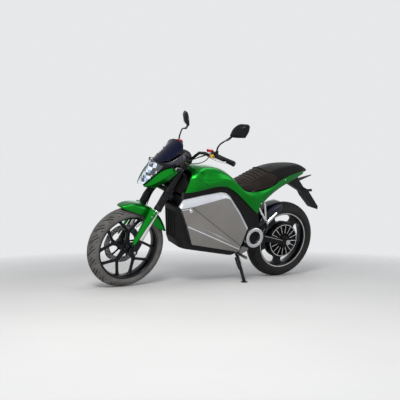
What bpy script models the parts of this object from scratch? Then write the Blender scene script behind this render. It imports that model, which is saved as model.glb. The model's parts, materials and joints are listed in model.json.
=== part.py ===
"""Electric motorcycle with a finned hub motor, leaning on its side stand.

Every piece is modelled upright in the bike's own axes, in metres: the rear tyre touches the
floor at the origin, +X points forward, +Y left and +Z up. Named empties then turn the steering
to its parked angle and lean the whole machine over until both tyres and the stand meet z = 0.
"""
import math

import bmesh
import bpy
import numpy as np
from mathutils import Matrix, Vector

# Clearances and cuts
CLEAR = 0.0003
OVERRUN = 0.004
SINK = 0.002
WELD = 0.000002

# Stance
LEAN = math.radians(13.0)
STEER_AT_REST = math.radians(7.2)
RAKE = math.radians(27.0)
FORK_OFFSET = 0.038
WHEELBASE = 1.350

# Tyres and rims
FRONT_TYRE_RADIUS = 0.293
FRONT_TYRE_WIDTH = 0.110
REAR_TYRE_RADIUS = 0.314
REAR_TYRE_WIDTH = 0.140
RIM_SEAT_RADIUS = 0.2165
RIM_FLANGE_RISE = 0.0115
RIM_WALL = 0.006
RIM_LIP = 0.006
FRONT_RIM_WIDTH = 0.078
REAR_RIM_WIDTH = 0.098
TYRE_CROWN_SHARE = 0.83
TYRE_SIDE_SHARE = 0.16
WHEEL_STEPS = 40

# Front wheel centre
FRONT_HUB_RADIUS = 0.034
FRONT_HUB_LEFT = 0.062
FRONT_HUB_RIGHT = 0.066
FRONT_AXLE_RADIUS = 0.010
BEARING_GAP = 0.0008
SPOKE_COUNT = 5
SPOKE_STEM_WIDTH = 0.034
SPOKE_STEM_REACH = 0.120
SPOKE_BRANCH_WIDTH = 0.018
SPOKE_DEPTH = 0.026
SPOKE_SPREAD = math.radians(22.4)

# Front brake
FRONT_DISC_RADIUS = 0.140
FRONT_DISC_BORE = 0.022
FRONT_DISC_BAND = 0.040
DISC_HUB_BAND = 0.020
DISC_ARM_WIDTH = 0.014
FRONT_DISC_THICKNESS = 0.004

# Rear wheel centre
MOTOR_RADIUS = 0.138
MOTOR_HALF_WIDTH = 0.056
MOTOR_FIN_COUNT = 16
MOTOR_FIN_INNER = 0.050
MOTOR_FIN_OUTER = 0.126
MOTOR_FIN_HEIGHT = 0.009
MOTOR_FIN_WIDTH = 0.006
MOTOR_BOSS_RADIUS = 0.040
MOTOR_BOSS_HEIGHT = 0.014
REAR_DISC_STANDOFF = 0.0272
REAR_WEB_RING = 0.012
REAR_WEB_DEPTH = 0.030
REAR_SPOKE_WIDTH = 0.062
REAR_AXLE_RADIUS = 0.011
REAR_AXLE_HALF = 0.128
AXLE_NUT_RADIUS = 0.017
AXLE_NUT_DEPTH = 0.010

# Rear brake
REAR_DISC_RADIUS = 0.110
REAR_DISC_BORE = 0.024
REAR_DISC_THICKNESS = 0.004
DISC_SLOT = 0.0145
DISC_EDGE_GAP = 0.0065

# Fork
FORK_SPREAD = 0.105
FORK_TUBE_RADIUS = 0.0270
FORK_TUBE_BOTTOM = 0.345
FORK_TUBE_PROUD = 0.032
STANCHION_RADIUS = 0.0205
STANCHION_SINK = 0.020
LUG_RADIUS = 0.027
LUG_RISE = 0.060
AXLE_CLAMP_RADIUS = 0.024
AXLE_CLAMP_DEPTH = 0.022
LOWER_YOKE_RISE = 0.490
UPPER_YOKE_RISE = 0.690
FORK_TUBE_TOP = UPPER_YOKE_RISE + FORK_TUBE_PROUD
YOKE_THICKNESS = 0.030
YOKE_CLAMP_RADIUS = 0.037
YOKE_LENGTH = 0.040
YOKE_REAR = 0.022
YOKE_REAR_HALF = 0.030
STEM_RADIUS = 0.0125
HEAD_TUBE_RADIUS = 0.030
HEAD_TUBE_GAP = 0.006

# Directions and places worked out from the sizes above
LEFT = Vector((0, 1, 0))
UP = Vector((0, 0, 1))
SIDES = (("left", 1), ("right", -1))
RIM_FLANGE_RADIUS = RIM_SEAT_RADIUS + RIM_FLANGE_RISE
FORK_AXIS = Vector((-math.sin(RAKE), 0, math.cos(RAKE)))
FORK_AHEAD = Vector((math.cos(RAKE), 0, math.sin(RAKE)))
FRONT_AXLE = Vector((WHEELBASE, 0, FRONT_TYRE_RADIUS))
REAR_AXLE = Vector((0, 0, REAR_TYRE_RADIUS))
STEER_POINT = FRONT_AXLE - FORK_AHEAD * FORK_OFFSET
LOWER_HEAD_X = STEER_POINT.x + FORK_AXIS.x * LOWER_YOKE_RISE
UPPER_HEAD_X = STEER_POINT.x + FORK_AXIS.x * UPPER_YOKE_RISE

# Frame spars: box of the side view, its front end a gap behind the head's lower end
SPAR_REAR = 0.285
SPAR_GAP = 0.0886
SPAR_LENGTH = LOWER_HEAD_X - SPAR_GAP - SPAR_REAR
SPAR_FLOOR = 0.262
SPAR_HEIGHT = 0.528
SPAR_OUTER = 0.1250
SPAR_INNER = 0.0870
NECK_REAR_HALF = 0.120
CROSS_TUBE_RADIUS = 0.016
RAIL_INSET = 0.012

# Swingarm pivot
PIVOT_X = 0.364
PIVOT_Z = 0.374
PIVOT_BOLT_RADIUS = 0.010
PIVOT_TUBE_RADIUS = 0.024
PIVOT_TUBE_HALF = 0.084
RING_RADIUS = 0.079
RING_HOLE = 0.050
RING_DEPTH = 0.036

# Battery: box of the side view
BATTERY_FRONT_SHARE = 0.9306
BATTERY_REAR_SHARE = 0.2986
BATTERY_FRONT = SPAR_REAR + SPAR_LENGTH * BATTERY_FRONT_SHARE
BATTERY_REAR = SPAR_REAR + SPAR_LENGTH * BATTERY_REAR_SHARE
BATTERY_FLOOR = 0.300
BATTERY_TOP_DROP = 0.0012

# Battery cowl
COWL_GAP = 0.020
COWL_REAR = BATTERY_REAR
COWL_LENGTH = WHEELBASE - FRONT_TYRE_RADIUS - COWL_GAP - COWL_REAR
COWL_FLOOR = 0.221
COWL_HEIGHT = 0.373
COWL_HALF = 0.124
COWL_NOSE_HALF = 0.085
COWL_SHRINK = 0.030
COWL_WALL = 0.004
COWL_RIB_COUNT = 5
COWL_RIB_PITCH = 0.030
COWL_RIB_WIDTH = 0.009
COWL_RIB_HEIGHT = 0.007

# Side covers: box of the side view
COVER_INSET = 0.002
COVER_AHEAD = 0.061
COVER_REAR = PIVOT_X + COVER_AHEAD
COVER_LENGTH = COWL_REAR + COWL_LENGTH - COVER_INSET - COVER_REAR
COVER_FOOT_SHARE = 0.102
COVER_FLOOR = 0.260
COVER_HEIGHT = 0.463
COVER_BACK = SPAR_OUTER + CLEAR
COVER_BULGE = 0.035

# Flanks: box of the side view
FLANK_REAR = -0.097
FLANK_GAP = 0.0976
FLANK_LENGTH = LOWER_HEAD_X - FLANK_GAP - FLANK_REAR
FLANK_FLOOR = 0.558
FLANK_HEIGHT = 0.345
FLANK_BACK = SPAR_OUTER + CLEAR
FLANK_FULL = 0.160

# Tank cover
TANK_REAR_SHARE = 0.5563
TANK_REAR = FLANK_REAR + FLANK_LENGTH * TANK_REAR_SHARE
TANK_GAP = 0.0729
TANK_FRONT = UPPER_HEAD_X - TANK_GAP
TANK_CROWN = 0.915

# Seats
SEAT_SPLIT_TOP = 0.292
SEAT_SPLIT_FOOT = 0.185
SEAT_HALF = 0.130
SEAT_FRONT_GAP = 0.0010
SEAT_SPLIT_GAP = 0.0010

# Side stand
SPAR_FOOT_SHARE = 0.236
STAND_AHEAD = 0.007
STAND_PIVOT_X = SPAR_REAR + SPAR_LENGTH * SPAR_FOOT_SHARE + STAND_AHEAD
STAND_PIVOT_Y = 0.095
STAND_PIVOT_Z = 0.232
STAND_FOOT_AHEAD = 0.014
STAND_FOOT_X = STAND_PIVOT_X + STAND_FOOT_AHEAD
STAND_FOOT_Y = 0.250
STAND_LEG_RADIUS = 0.0125
STAND_FOOT_RADIUS = 0.026
STAND_FOOT_THICKNESS = 0.006
STAND_LUG_RADIUS = 0.018
STAND_LUG_HALF = 0.006
STAND_BOLT_RADIUS = 0.006


def clear_scene():
    """Remove what the scene holds, so that the script starts from nothing."""
    for thing in list(bpy.data.objects):
        bpy.data.objects.remove(thing)
    for mesh in list(bpy.data.meshes):
        bpy.data.meshes.remove(mesh)


clear_scene()
MOTORCYCLE = bpy.data.collections.new("electric_motorcycle")
bpy.context.scene.collection.children.link(MOTORCYCLE)


def paint(name, colour, roughness, metallic=0.0):
    """A plain Principled material."""
    material = bpy.data.materials.new(name)
    material.use_nodes = True
    shader = material.node_tree.nodes["Principled BSDF"]
    shader.inputs["Base Color"].default_value = (*colour, 1.0)
    shader.inputs["Roughness"].default_value = roughness
    shader.inputs["Metallic"].default_value = metallic
    return material


GREEN = ((0.01, 0.25, 0.03), 0.20, 0.6)
SILVER = ((0.32, 0.31, 0.30), 0.38, 0.9)
BLACK = ((0.02, 0.02, 0.023), 0.45, 0.0)
GLOSS_BLACK = ((0.015, 0.016, 0.02), 0.20, 0.0)
RUBBER = ((0.05, 0.05, 0.05), 0.80, 0.0)
STEEL = ((0.60, 0.60, 0.60), 0.30, 1.0)
ALLOY = ((0.70, 0.70, 0.72), 0.28, 1.0)
BROWN = ((0.05, 0.035, 0.03), 0.60, 0.0)
CLEAR_LENS = ((0.55, 0.62, 0.70), 0.08, 0.0)
TINTED = ((0.02, 0.03, 0.07), 0.08, 0.0)
RED = ((0.45, 0.01, 0.01), 0.25, 0.0)


# Empties: the lean of the whole machine and the joint axes

def empty(name, matrix, parent=None, parent_rest=None):
    """An empty with its axes at matrix, given in the bike's upright axes."""
    holder = bpy.data.objects.new(name, None)
    holder.empty_display_size = FRONT_HUB_RADIUS
    MOTORCYCLE.objects.link(holder)
    holder.matrix_basis = matrix
    if parent is not None:
        holder.parent = parent
        holder.matrix_parent_inverse = parent_rest.inverted()
    return holder


def axes_at(point, direction):
    """Matrix with its origin at point and its Z along direction."""
    turn = UP.rotation_difference(Vector(direction)).to_matrix().to_4x4()
    return Matrix.Translation(Vector(point)) @ turn


BIKE = empty("bike", Matrix.Identity(4))
STEER_REST = axes_at(STEER_POINT, FORK_AXIS)
STEERING = empty("steering_axis", STEER_REST @ Matrix.Rotation(STEER_AT_REST, 4, "Z"), BIKE,
                 Matrix.Identity(4))
FRONT_REST = axes_at(FRONT_AXLE, LEFT)
FRONT_SPIN = empty("front_wheel_axis", FRONT_REST, STEERING, STEER_REST)
REAR_REST = axes_at(REAR_AXLE, LEFT)
REAR_SPIN = empty("rear_wheel_axis", REAR_REST, BIKE, Matrix.Identity(4))

HOLDERS = {
    "body": (BIKE, Matrix.Identity(4)),
    "fork": (STEERING, STEER_REST),
    "front": (FRONT_SPIN, FRONT_REST),
    "rear": (REAR_SPIN, REAR_REST),
}


# Making shapes

def raw(bm, name="piece"):
    """Object from a bmesh, faces pointing out."""
    bmesh.ops.recalc_face_normals(bm, faces=bm.faces)
    mesh = bpy.data.meshes.new(name)
    bm.to_mesh(mesh)
    bm.free()
    thing = bpy.data.objects.new(name, mesh)
    bpy.context.scene.collection.objects.link(thing)
    return thing


def settle(thing):
    """Apply the modifiers and transform of an object, as a fresh mesh."""
    bpy.context.view_layer.update()
    graph = bpy.context.evaluated_depsgraph_get()
    mesh = bpy.data.meshes.new_from_object(thing.evaluated_get(graph))
    mesh.transform(thing.matrix_world)
    bm = bmesh.new()
    bm.from_mesh(mesh)
    bmesh.ops.remove_doubles(bm, verts=bm.verts, dist=WELD)
    bmesh.ops.recalc_face_normals(bm, faces=bm.faces)
    fresh = bpy.data.meshes.new(thing.name)
    bm.to_mesh(fresh)
    bm.free()
    bpy.data.meshes.remove(mesh)
    result = bpy.data.objects.new(thing.name, fresh)
    bpy.context.scene.collection.objects.link(result)
    bpy.data.objects.remove(thing)
    return result


def combine(base, others, operation):
    """Boolean of base with each of the others, which are used up."""
    for other in others:
        modifier = base.modifiers.new("join", "BOOLEAN")
        modifier.operation = operation
        modifier.object = other
        base = settle(base)
        bpy.data.objects.remove(other)
    return base


def fuse(base, *others):
    return combine(base, others, "UNION")


def cut(base, *others):
    return combine(base, others, "DIFFERENCE")


def grown(thing, gap=CLEAR):
    """Copy of an object whose faces stand out by a gap, to cut its neighbours with."""
    copy = bpy.data.objects.new("grown", thing.data.copy())
    bpy.context.scene.collection.objects.link(copy)
    swell = copy.modifiers.new("swell", "DISPLACE")
    swell.strength = gap
    swell.mid_level = 0.0
    return settle(copy)


def block(centre, size, turn=None):
    """Box from its centre and its three sizes, turned by a matrix if one is given."""
    bm = bmesh.new()
    bmesh.ops.create_cube(bm, size=1.0)
    bmesh.ops.scale(bm, vec=Vector(size), verts=bm.verts)
    place = Matrix.Translation(Vector(centre))
    if turn is not None:
        place = place @ turn.to_4x4()
    bmesh.ops.transform(bm, matrix=place, verts=bm.verts)
    return raw(bm)


def rod(start, end, radius, sides=16, end_radius=None):
    """Round bar, or cone, between two points."""
    start = Vector(start)
    run = Vector(end) - start
    bm = bmesh.new()
    bmesh.ops.create_cone(bm, cap_ends=True, segments=sides, radius1=radius,
                          radius2=radius if end_radius is None else end_radius,
                          depth=run.length)
    bmesh.ops.transform(bm, matrix=axes_at(start + run * 0.5, run), verts=bm.verts)
    return raw(bm)


def hull(points):
    """Convex body round the points."""
    bm = bmesh.new()
    for point in points:
        bm.verts.new(Vector(point))
    made = bmesh.ops.convex_hull(bm, input=bm.verts)
    inside = [item for item in made["geom_interior"] if isinstance(item, bmesh.types.BMVert)]
    bmesh.ops.delete(bm, geom=inside, context="VERTS")
    return raw(bm)


def ring(profile, steps, centre, direction=LEFT):
    """Closed profile of (radius, along the axis) turned about an axis."""
    mesh = bpy.data.meshes.new("profile")
    count = len(profile)
    edges = [(index, (index + 1) % count) for index in range(count)]
    mesh.from_pydata([(radius, 0, along) for radius, along in profile], edges, [])
    thing = bpy.data.objects.new("ring", mesh)
    bpy.context.scene.collection.objects.link(thing)
    screw = thing.modifiers.new("turn", "SCREW")
    screw.axis = "Z"
    screw.steps = steps
    screw.render_steps = steps
    screw.use_merge_vertices = True
    screw.merge_threshold = 0.0001
    thing.matrix_world = axes_at(centre, direction)
    return settle(thing)


def plate(outline, low, high):
    """Side-view outline of (x, z) given a thickness from y = low to y = high."""
    bm = bmesh.new()
    face = bm.faces.new([bm.verts.new((x, low, z)) for x, z in outline])
    grown_part = bmesh.ops.extrude_face_region(bm, geom=[face])
    lifted = [item for item in grown_part["geom"] if isinstance(item, bmesh.types.BMVert)]
    bmesh.ops.translate(bm, vec=(0, high - low, 0), verts=lifted)
    bmesh.ops.triangulate(bm, faces=[face for face in bm.faces if len(face.verts) > 4])
    return raw(bm)


def loft(sections):
    """Closed body through sections, each a closed loop of as many points."""
    bm = bmesh.new()
    loops = [[bm.verts.new(Vector(point)) for point in section] for section in sections]
    count = len(loops[0])
    for before, after in zip(loops, loops[1:]):
        for index in range(count):
            following = (index + 1) % count
            bm.faces.new((before[index], before[following], after[following], after[index]))
    for cap in (loops[0], loops[-1]):
        bm.faces.new(cap)
    bmesh.ops.triangulate(bm, faces=[face for face in bm.faces if len(face.verts) > 4])
    return raw(bm)


def shell(rows, thickness):
    """Grid of points given an even thickness, behind the side that the rows show."""
    bm = bmesh.new()
    grid = [[bm.verts.new(Vector(point)) for point in row] for row in rows]
    for low, high in zip(grid, grid[1:]):
        for index in range(len(low) - 1):
            bm.faces.new((low[index], low[index + 1], high[index + 1], high[index]))
    mesh = bpy.data.meshes.new("shell")
    bm.to_mesh(mesh)
    bm.free()
    thing = bpy.data.objects.new("shell", mesh)
    bpy.context.scene.collection.objects.link(thing)
    solid = thing.modifiers.new("wall", "SOLIDIFY")
    solid.thickness = thickness
    solid.offset = -1.0
    solid.use_even_offset = True
    return settle(thing)


def backed(rows, back_rows):
    """Closed body between a grid of outer points and a grid of back points."""
    bm = bmesh.new()
    front = [[bm.verts.new(Vector(point)) for point in row] for row in rows]
    back = [[bm.verts.new(Vector(point)) for point in row] for row in back_rows]
    for grid in (front, back):
        for low, high in zip(grid, grid[1:]):
            for index in range(len(low) - 1):
                bm.faces.new((low[index], low[index + 1], high[index + 1], high[index]))
    rim = list(front[0]) + [row[-1] for row in front[1:]]
    rim += list(reversed(front[-1][:-1])) + [row[0] for row in reversed(front[1:-1])]
    under = list(back[0]) + [row[-1] for row in back[1:]]
    under += list(reversed(back[-1][:-1])) + [row[0] for row in reversed(back[1:-1])]
    for index in range(len(rim)):
        following = (index + 1) % len(rim)
        bm.faces.new((rim[index], rim[following], under[following], under[index]))
    return raw(bm)


def wire(points, radius, sides=2, closed=False):
    """Round tube along points, as a closed mesh."""
    curve = bpy.data.curves.new("wire", "CURVE")
    curve.dimensions = "3D"
    curve.bevel_depth = radius
    curve.bevel_resolution = sides
    curve.use_fill_caps = True
    curve.resolution_u = 1
    curve.render_resolution_u = 0
    line = curve.splines.new("POLY")
    line.points.add(len(points) - 1)
    for spot, point in zip(line.points, points):
        spot.co = (*point, 1.0)
    line.use_cyclic_u = closed
    thing = bpy.data.objects.new("wire", curve)
    bpy.context.scene.collection.objects.link(thing)
    return settle(thing)


def smooth_route(points, count):
    """Points read evenly from a Catmull-Rom curve through a route's own points."""
    spots = [Vector(point) for point in points]
    ends = [spots[0] * 2 - spots[1]] + spots + [spots[-1] * 2 - spots[-2]]
    route = []
    for index in range(count + 1):
        place = index / count * (len(spots) - 1)
        base = min(int(place), len(spots) - 2)
        t = place - base
        a, b, c, d = ends[base:base + 4]
        route.append(0.5 * ((2 * b) + (c - a) * t + (2 * a - 5 * b + 4 * c - d) * t ** 2
                            + (3 * b - a - 3 * c + d) * t ** 3))
    return route


def flipped(thing):
    """Mirror copy of an object to the other side of the bike."""
    copy = bpy.data.objects.new(thing.name, thing.data.copy())
    bpy.context.scene.collection.objects.link(copy)
    copy.data.transform(Matrix.Scale(-1.0, 4, LEFT))
    copy.data.flip_normals()
    return copy


PIECES = {}


def keep(name, thing, holder, colour, smooth=35.0):
    """Name a finished piece, paint it and hang it on its body's empty."""
    thing.name = name
    thing.data.name = name
    if name not in bpy.data.materials:
        paint(name, *colour)
    thing.data.materials.clear()
    thing.data.materials.append(bpy.data.materials[name])
    thing.data.shade_smooth()
    thing.data.set_sharp_from_angle(angle=math.radians(smooth))
    for collection in list(thing.users_collection):
        collection.objects.unlink(thing)
    MOTORCYCLE.objects.link(thing)
    parent, rest = HOLDERS[holder]
    thing.parent = parent
    thing.matrix_parent_inverse = rest.inverted()
    PIECES[name] = thing
    return thing


def keep_pair(name, thing, holder, colour):
    """Keep a left piece and its mirror image on the right."""
    other = flipped(thing)
    keep(name + "_left", thing, holder, colour)
    keep(name + "_right", other, holder, colour)


def arc(radius, start, end, count):
    """Points of (across, along) on an arc, angles in degrees."""
    angles = np.linspace(math.radians(start), math.radians(end), count)
    return [(radius * math.cos(angle), radius * math.sin(angle)) for angle in angles]


def fork_point(rise, ahead=0.0, left=0.0):
    """Point in the fork's own axes, counted from the foot of the steering axis beside the axle."""
    return STEER_POINT + FORK_AXIS * rise + FORK_AHEAD * ahead + LEFT * left


def leg_point(rise, side):
    return fork_point(rise, FORK_OFFSET, FORK_SPREAD * side)


# Wheels

def tyre_profile(radius, width, rim_width):
    """Section of a tyre that fills the space down to its seat on the rim."""
    crown = width / 2
    rise = radius - RIM_FLANGE_RADIUS
    depth = rise * TYRE_CROWN_SHARE
    bead = rim_width / 2 - RIM_LIP - CLEAR
    points = [(radius - depth + across * depth / crown, along)
              for across, along in arc(crown, 62, -62, 7)]
    side = (RIM_FLANGE_RADIUS + rise * TYRE_SIDE_SHARE, crown * 0.92)
    edge = RIM_FLANGE_RADIUS + CLEAR * 3
    shoulder = [(side[0], -side[1]), (edge, -bead)]
    seat = [(RIM_SEAT_RADIUS + CLEAR, -bead), (RIM_SEAT_RADIUS + CLEAR, bead)]
    other = [(edge, bead), side]
    return points + shoulder + seat + other


def rim_profile(width):
    """Section of a cast rim's barrel with its two flanges."""
    half = width / 2
    well = RIM_SEAT_RADIUS - RIM_WALL
    return [
        (RIM_FLANGE_RADIUS, half), (RIM_FLANGE_RADIUS, half - RIM_LIP),
        (RIM_SEAT_RADIUS, half - RIM_LIP), (RIM_SEAT_RADIUS, RIM_LIP - half),
        (RIM_FLANGE_RADIUS, RIM_LIP - half), (RIM_FLANGE_RADIUS, -half),
        (RIM_SEAT_RADIUS - RIM_LIP / 2, -half), (well, RIM_LIP * 2 - half),
        (well, half - RIM_LIP * 2), (RIM_SEAT_RADIUS - RIM_LIP / 2, half),
    ]


def around(axle, radius, angle, left=0.0):
    """Point at a radius and an angle about a wheel's axle, 0 ahead and 90 degrees up."""
    return axle + Vector((radius * math.cos(angle), left, radius * math.sin(angle)))


def bar(axle, start, end, width, depth):
    """Straight flat bar of a wheel between two (radius, angle) places."""
    first = around(axle, *start)
    run = around(axle, *end) - first
    turn = Matrix.Rotation(-math.atan2(run.z, run.x), 3, "Y")
    return block(first + run * 0.5, (run.length, depth, width), turn)


def forked_spoke():
    """Outline of a forked spoke that points along +X from the hub, as (along, across)."""
    stem = SPOKE_STEM_WIDTH / 2
    branch = SPOKE_BRANCH_WIDTH / 2
    outer = RIM_SEAT_RADIUS - RIM_WALL / 2
    end = Vector((outer * math.cos(SPOKE_SPREAD), outer * math.sin(SPOKE_SPREAD)))
    run = (end - Vector((SPOKE_STEM_REACH, 0))).normalized()
    aside = Vector((-run.y, run.x)) * branch
    knee = (stem - branch * run.x) / run.y
    ends = []
    for start in (end + aside, end - aside):
        along = start.dot(run)
        ends.append(start + run * (math.sqrt(along ** 2 - start.length_squared + outer ** 2) - along))
    side = [Vector((FRONT_HUB_RADIUS * 0.6, stem)),
            Vector((SPOKE_STEM_REACH - branch * run.y + knee * run.x, stem))] + ends
    crotch = Vector((SPOKE_STEM_REACH + branch / run.y, 0))
    return [tuple(point) for point in side + [crotch]] + [(x, -y) for x, y in reversed(side)]


def front_wheel():
    """Tyre, cast wheel with five forked spokes, and brake disc."""
    profile = tyre_profile(FRONT_TYRE_RADIUS, FRONT_TYRE_WIDTH, FRONT_RIM_WIDTH)
    keep("front_tyre", ring(profile, WHEEL_STEPS, FRONT_AXLE), "front", RUBBER)
    wheel = ring(rim_profile(FRONT_RIM_WIDTH), WHEEL_STEPS, FRONT_AXLE)
    hub = rod(FRONT_AXLE - LEFT * FRONT_HUB_RIGHT, FRONT_AXLE + LEFT * FRONT_HUB_LEFT,
              FRONT_HUB_RADIUS, 24)
    bars = [hub]
    for index in range(SPOKE_COUNT):
        angle = math.radians(90) + index * math.tau / SPOKE_COUNT
        spoke = plate(forked_spoke(), -SPOKE_DEPTH / 2, SPOKE_DEPTH / 2)
        spoke.data.transform(Matrix.Translation(FRONT_AXLE) @ Matrix.Rotation(-angle, 4, "Y"))
        bars.append(spoke)
    wheel = fuse(wheel, *bars)
    bore = FRONT_AXLE_RADIUS + BEARING_GAP
    reach = FRONT_HUB_RIGHT + OVERRUN
    wheel = cut(wheel, rod(FRONT_AXLE - LEFT * reach, FRONT_AXLE + LEFT * reach, bore, 24))
    keep("front_rim", wheel, "front", GLOSS_BLACK)
    outer = -(FRONT_HUB_RIGHT + CLEAR + FRONT_DISC_THICKNESS)
    inner = -(FRONT_HUB_RIGHT + CLEAR)
    bands = []
    for high, low in ((FRONT_DISC_RADIUS, FRONT_DISC_RADIUS - FRONT_DISC_BAND),
                      (FRONT_DISC_BORE + DISC_HUB_BAND, FRONT_DISC_BORE)):
        bands.append(ring([(high, inner), (high, outer), (low, outer), (low, inner)], WHEEL_STEPS,
                          FRONT_AXLE))
    arms = []
    for index in range(SPOKE_COUNT):
        angle = math.radians(90) + index * math.tau / SPOKE_COUNT
        arm = bar(FRONT_AXLE, (FRONT_DISC_BORE + DISC_HUB_BAND / 2, angle),
                  (FRONT_DISC_RADIUS - FRONT_DISC_BAND / 2, angle), DISC_ARM_WIDTH,
                  FRONT_DISC_THICKNESS * 0.8)
        arm.data.transform(Matrix.Translation(LEFT * (inner + outer) / 2))
        arms.append(arm)
    keep("front_disc", fuse(*bands, *arms), "front", STEEL)


def rear_wheel():
    """Tyre, cast rim with five broad webs, finned hub motor, and brake disc."""
    profile = tyre_profile(REAR_TYRE_RADIUS, REAR_TYRE_WIDTH, REAR_RIM_WIDTH)
    keep("rear_tyre", ring(profile, WHEEL_STEPS, REAR_AXLE), "rear", RUBBER)
    wheel = ring(rim_profile(REAR_RIM_WIDTH), WHEEL_STEPS, REAR_AXLE)
    half = REAR_WEB_DEPTH / 2
    inner = MOTOR_RADIUS + CLEAR
    collar = [(inner + REAR_WEB_RING, half), (inner + REAR_WEB_RING, -half),
              (inner, -half), (inner, half)]
    webs = [ring(collar, WHEEL_STEPS, REAR_AXLE)]
    for index in range(SPOKE_COUNT):
        angle = math.radians(54) + index * math.tau / SPOKE_COUNT
        webs.append(bar(REAR_AXLE, (inner + REAR_WEB_RING / 2, angle),
                        (RIM_SEAT_RADIUS - RIM_WALL / 2, angle),
                        REAR_SPOKE_WIDTH, REAR_WEB_DEPTH * 0.9))
    keep("rear_rim", fuse(wheel, *webs), "rear", GLOSS_BLACK)

    face = MOTOR_HALF_WIDTH
    motor = rod(REAR_AXLE - LEFT * face, REAR_AXLE + LEFT * face, MOTOR_RADIUS, WHEEL_STEPS)
    ridges = [rod(REAR_AXLE - LEFT * (face + REAR_DISC_STANDOFF),
                  REAR_AXLE + LEFT * (face + MOTOR_BOSS_HEIGHT), MOTOR_BOSS_RADIUS, 24)]
    for index in range(MOTOR_FIN_COUNT):
        angle = index * math.tau / MOTOR_FIN_COUNT
        fin = bar(REAR_AXLE, (MOTOR_FIN_INNER, angle), (MOTOR_FIN_OUTER, angle),
                  MOTOR_FIN_WIDTH, (face + MOTOR_FIN_HEIGHT) * 2)
        ridges.append(fin)
    motor = fuse(motor, *ridges)
    bore = REAR_AXLE_RADIUS + BEARING_GAP
    reach = face + REAR_DISC_STANDOFF + OVERRUN
    motor = cut(motor, rod(REAR_AXLE - LEFT * reach, REAR_AXLE + LEFT * reach, bore, 24))
    keep("rear_motor", motor, "rear", BLACK)
    seat = face + REAR_DISC_STANDOFF + CLEAR
    profile = [(REAR_DISC_RADIUS, -seat), (REAR_DISC_RADIUS, -seat - REAR_DISC_THICKNESS),
               (REAR_DISC_BORE, -seat - REAR_DISC_THICKNESS), (REAR_DISC_BORE, -seat)]
    keep("rear_disc", ring(profile, WHEEL_STEPS, REAR_AXLE), "rear", STEEL)


front_wheel()
rear_wheel()


# How the machine stands: lean, pitch and height, from the tyres

def lowest(name, direction):
    """Least reach of a piece's corners along a direction in the bike's upright axes."""
    thing = PIECES[name]
    bpy.context.view_layer.update()
    to_bike = BIKE.matrix_world.inverted() @ thing.matrix_world
    return min((to_bike @ corner.co).dot(direction) for corner in thing.data.vertices)


def stance():
    """Turn that leans the bike and levels its tyres, and the floor's place along its up axis."""
    pitch = 0.0
    for _ in range(4):
        turn = Matrix.Rotation(pitch, 3, "Y") @ Matrix.Rotation(-LEAN, 3, "X")
        up = turn.transposed() @ UP
        rear = lowest("rear_tyre", up)
        front = lowest("front_tyre", up)
        pitch += (front - rear) / WHEELBASE
    return turn, up, min(rear, front)


STAND_TURN, FLOOR_UP, FLOOR_LEVEL = stance()


def floor_height(x, y):
    """Height of the parked floor above the upright floor at a place."""
    return (FLOOR_LEVEL - FLOOR_UP.x * x - FLOOR_UP.y * y) / FLOOR_UP.z


# Hinge of the side stand, tilted so that the leg folds straight back beside the tyre
STAND_PIVOT = Vector((STAND_PIVOT_X, STAND_PIVOT_Y, STAND_PIVOT_Z))
STAND_FOOT = Vector((STAND_FOOT_X, STAND_FOOT_Y, floor_height(STAND_FOOT_X, STAND_FOOT_Y)))
STAND_AXIS = (STAND_FOOT - STAND_PIVOT).cross(Vector((-1, 0, 0))).normalized()


# Frame

def in_box(rear, length, floor, height, shares):
    """Side-view points from shares of a box: along from its rear, up from its floor."""
    return [(rear + along * length, floor + up * height) for along, up in shares]


# outer edge (along, up) and inner edge (along, up) of the arched spar, from its foot to the neck
SPAR_SHARES = (
    ((0.062, 0.015), (SPAR_FOOT_SHARE, 0.000)),
    ((0.038, 0.170), (0.205, 0.100)),
    ((0.038, 0.300), (0.194, 0.262)),
    ((0.069, 0.565), (0.222, 0.394)),
    ((0.271, 0.792), (0.340, 0.545)),
    ((0.458, 0.962), (0.493, 0.744)),
    ((0.576, 1.000), (0.576, 0.830)),
    ((0.736, 0.958), (0.757, 0.788)),
    ((0.896, 0.915), (0.896, 0.758)),
    ((0.990, 0.860), (0.990, 0.750)),
)
SPAR_BOX = (SPAR_REAR, SPAR_LENGTH, SPAR_FLOOR, SPAR_HEIGHT)
SPAR_TOP_LINE = in_box(*SPAR_BOX, [outer for outer, _ in SPAR_SHARES])
SPAR_LOW_LINE = in_box(*SPAR_BOX, [inner for _, inner in SPAR_SHARES])

# flank stations from the tail forward: top (along, up), foot (along, up), then shares of the back's
# width, of the full width and of the full width at the two edges
FLANK_SHARES = (
    ((0.009, 0.988), (0.000, 0.910), 0.44, 0.53, 0.50),
    ((0.110, 0.900), (0.105, 0.760), 0.55, 0.70, 0.62),
    ((0.221, 0.797), (0.220, 0.594), 0.70, 0.83, 0.75),
    ((0.311, 0.609), (0.349, 0.330), 1.00, 0.90, 0.86),
    ((0.503, 0.496), (0.410, 0.000), 1.00, 0.93, 0.84),
    ((0.556, 0.525), (0.533, 0.287), 1.00, 0.97, 0.87),
    ((0.673, 0.736), (0.653, 0.551), 1.00, 1.00, 0.88),
    ((0.754, 0.754), (0.729, 0.614), 1.00, 1.00, 0.88),
    ((0.848, 0.681), (0.833, 0.551), 1.00, 0.99, 0.88),
    ((0.912, 0.803), (0.926, 0.481), 1.00, 0.92, 0.86),
    ((0.939, 0.880), (1.000, 0.441), 1.00, 0.84, 0.82),
)
FLANK_BOX = (FLANK_REAR, FLANK_LENGTH, FLANK_FLOOR, FLANK_HEIGHT)
FLANK_TOP_LINE = in_box(*FLANK_BOX, [row[0] for row in FLANK_SHARES])
FLANK_FOOT_LINE = in_box(*FLANK_BOX, [row[1] for row in FLANK_SHARES])
FLANK_BACKS = [row[2] * FLANK_BACK for row in FLANK_SHARES]


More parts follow.
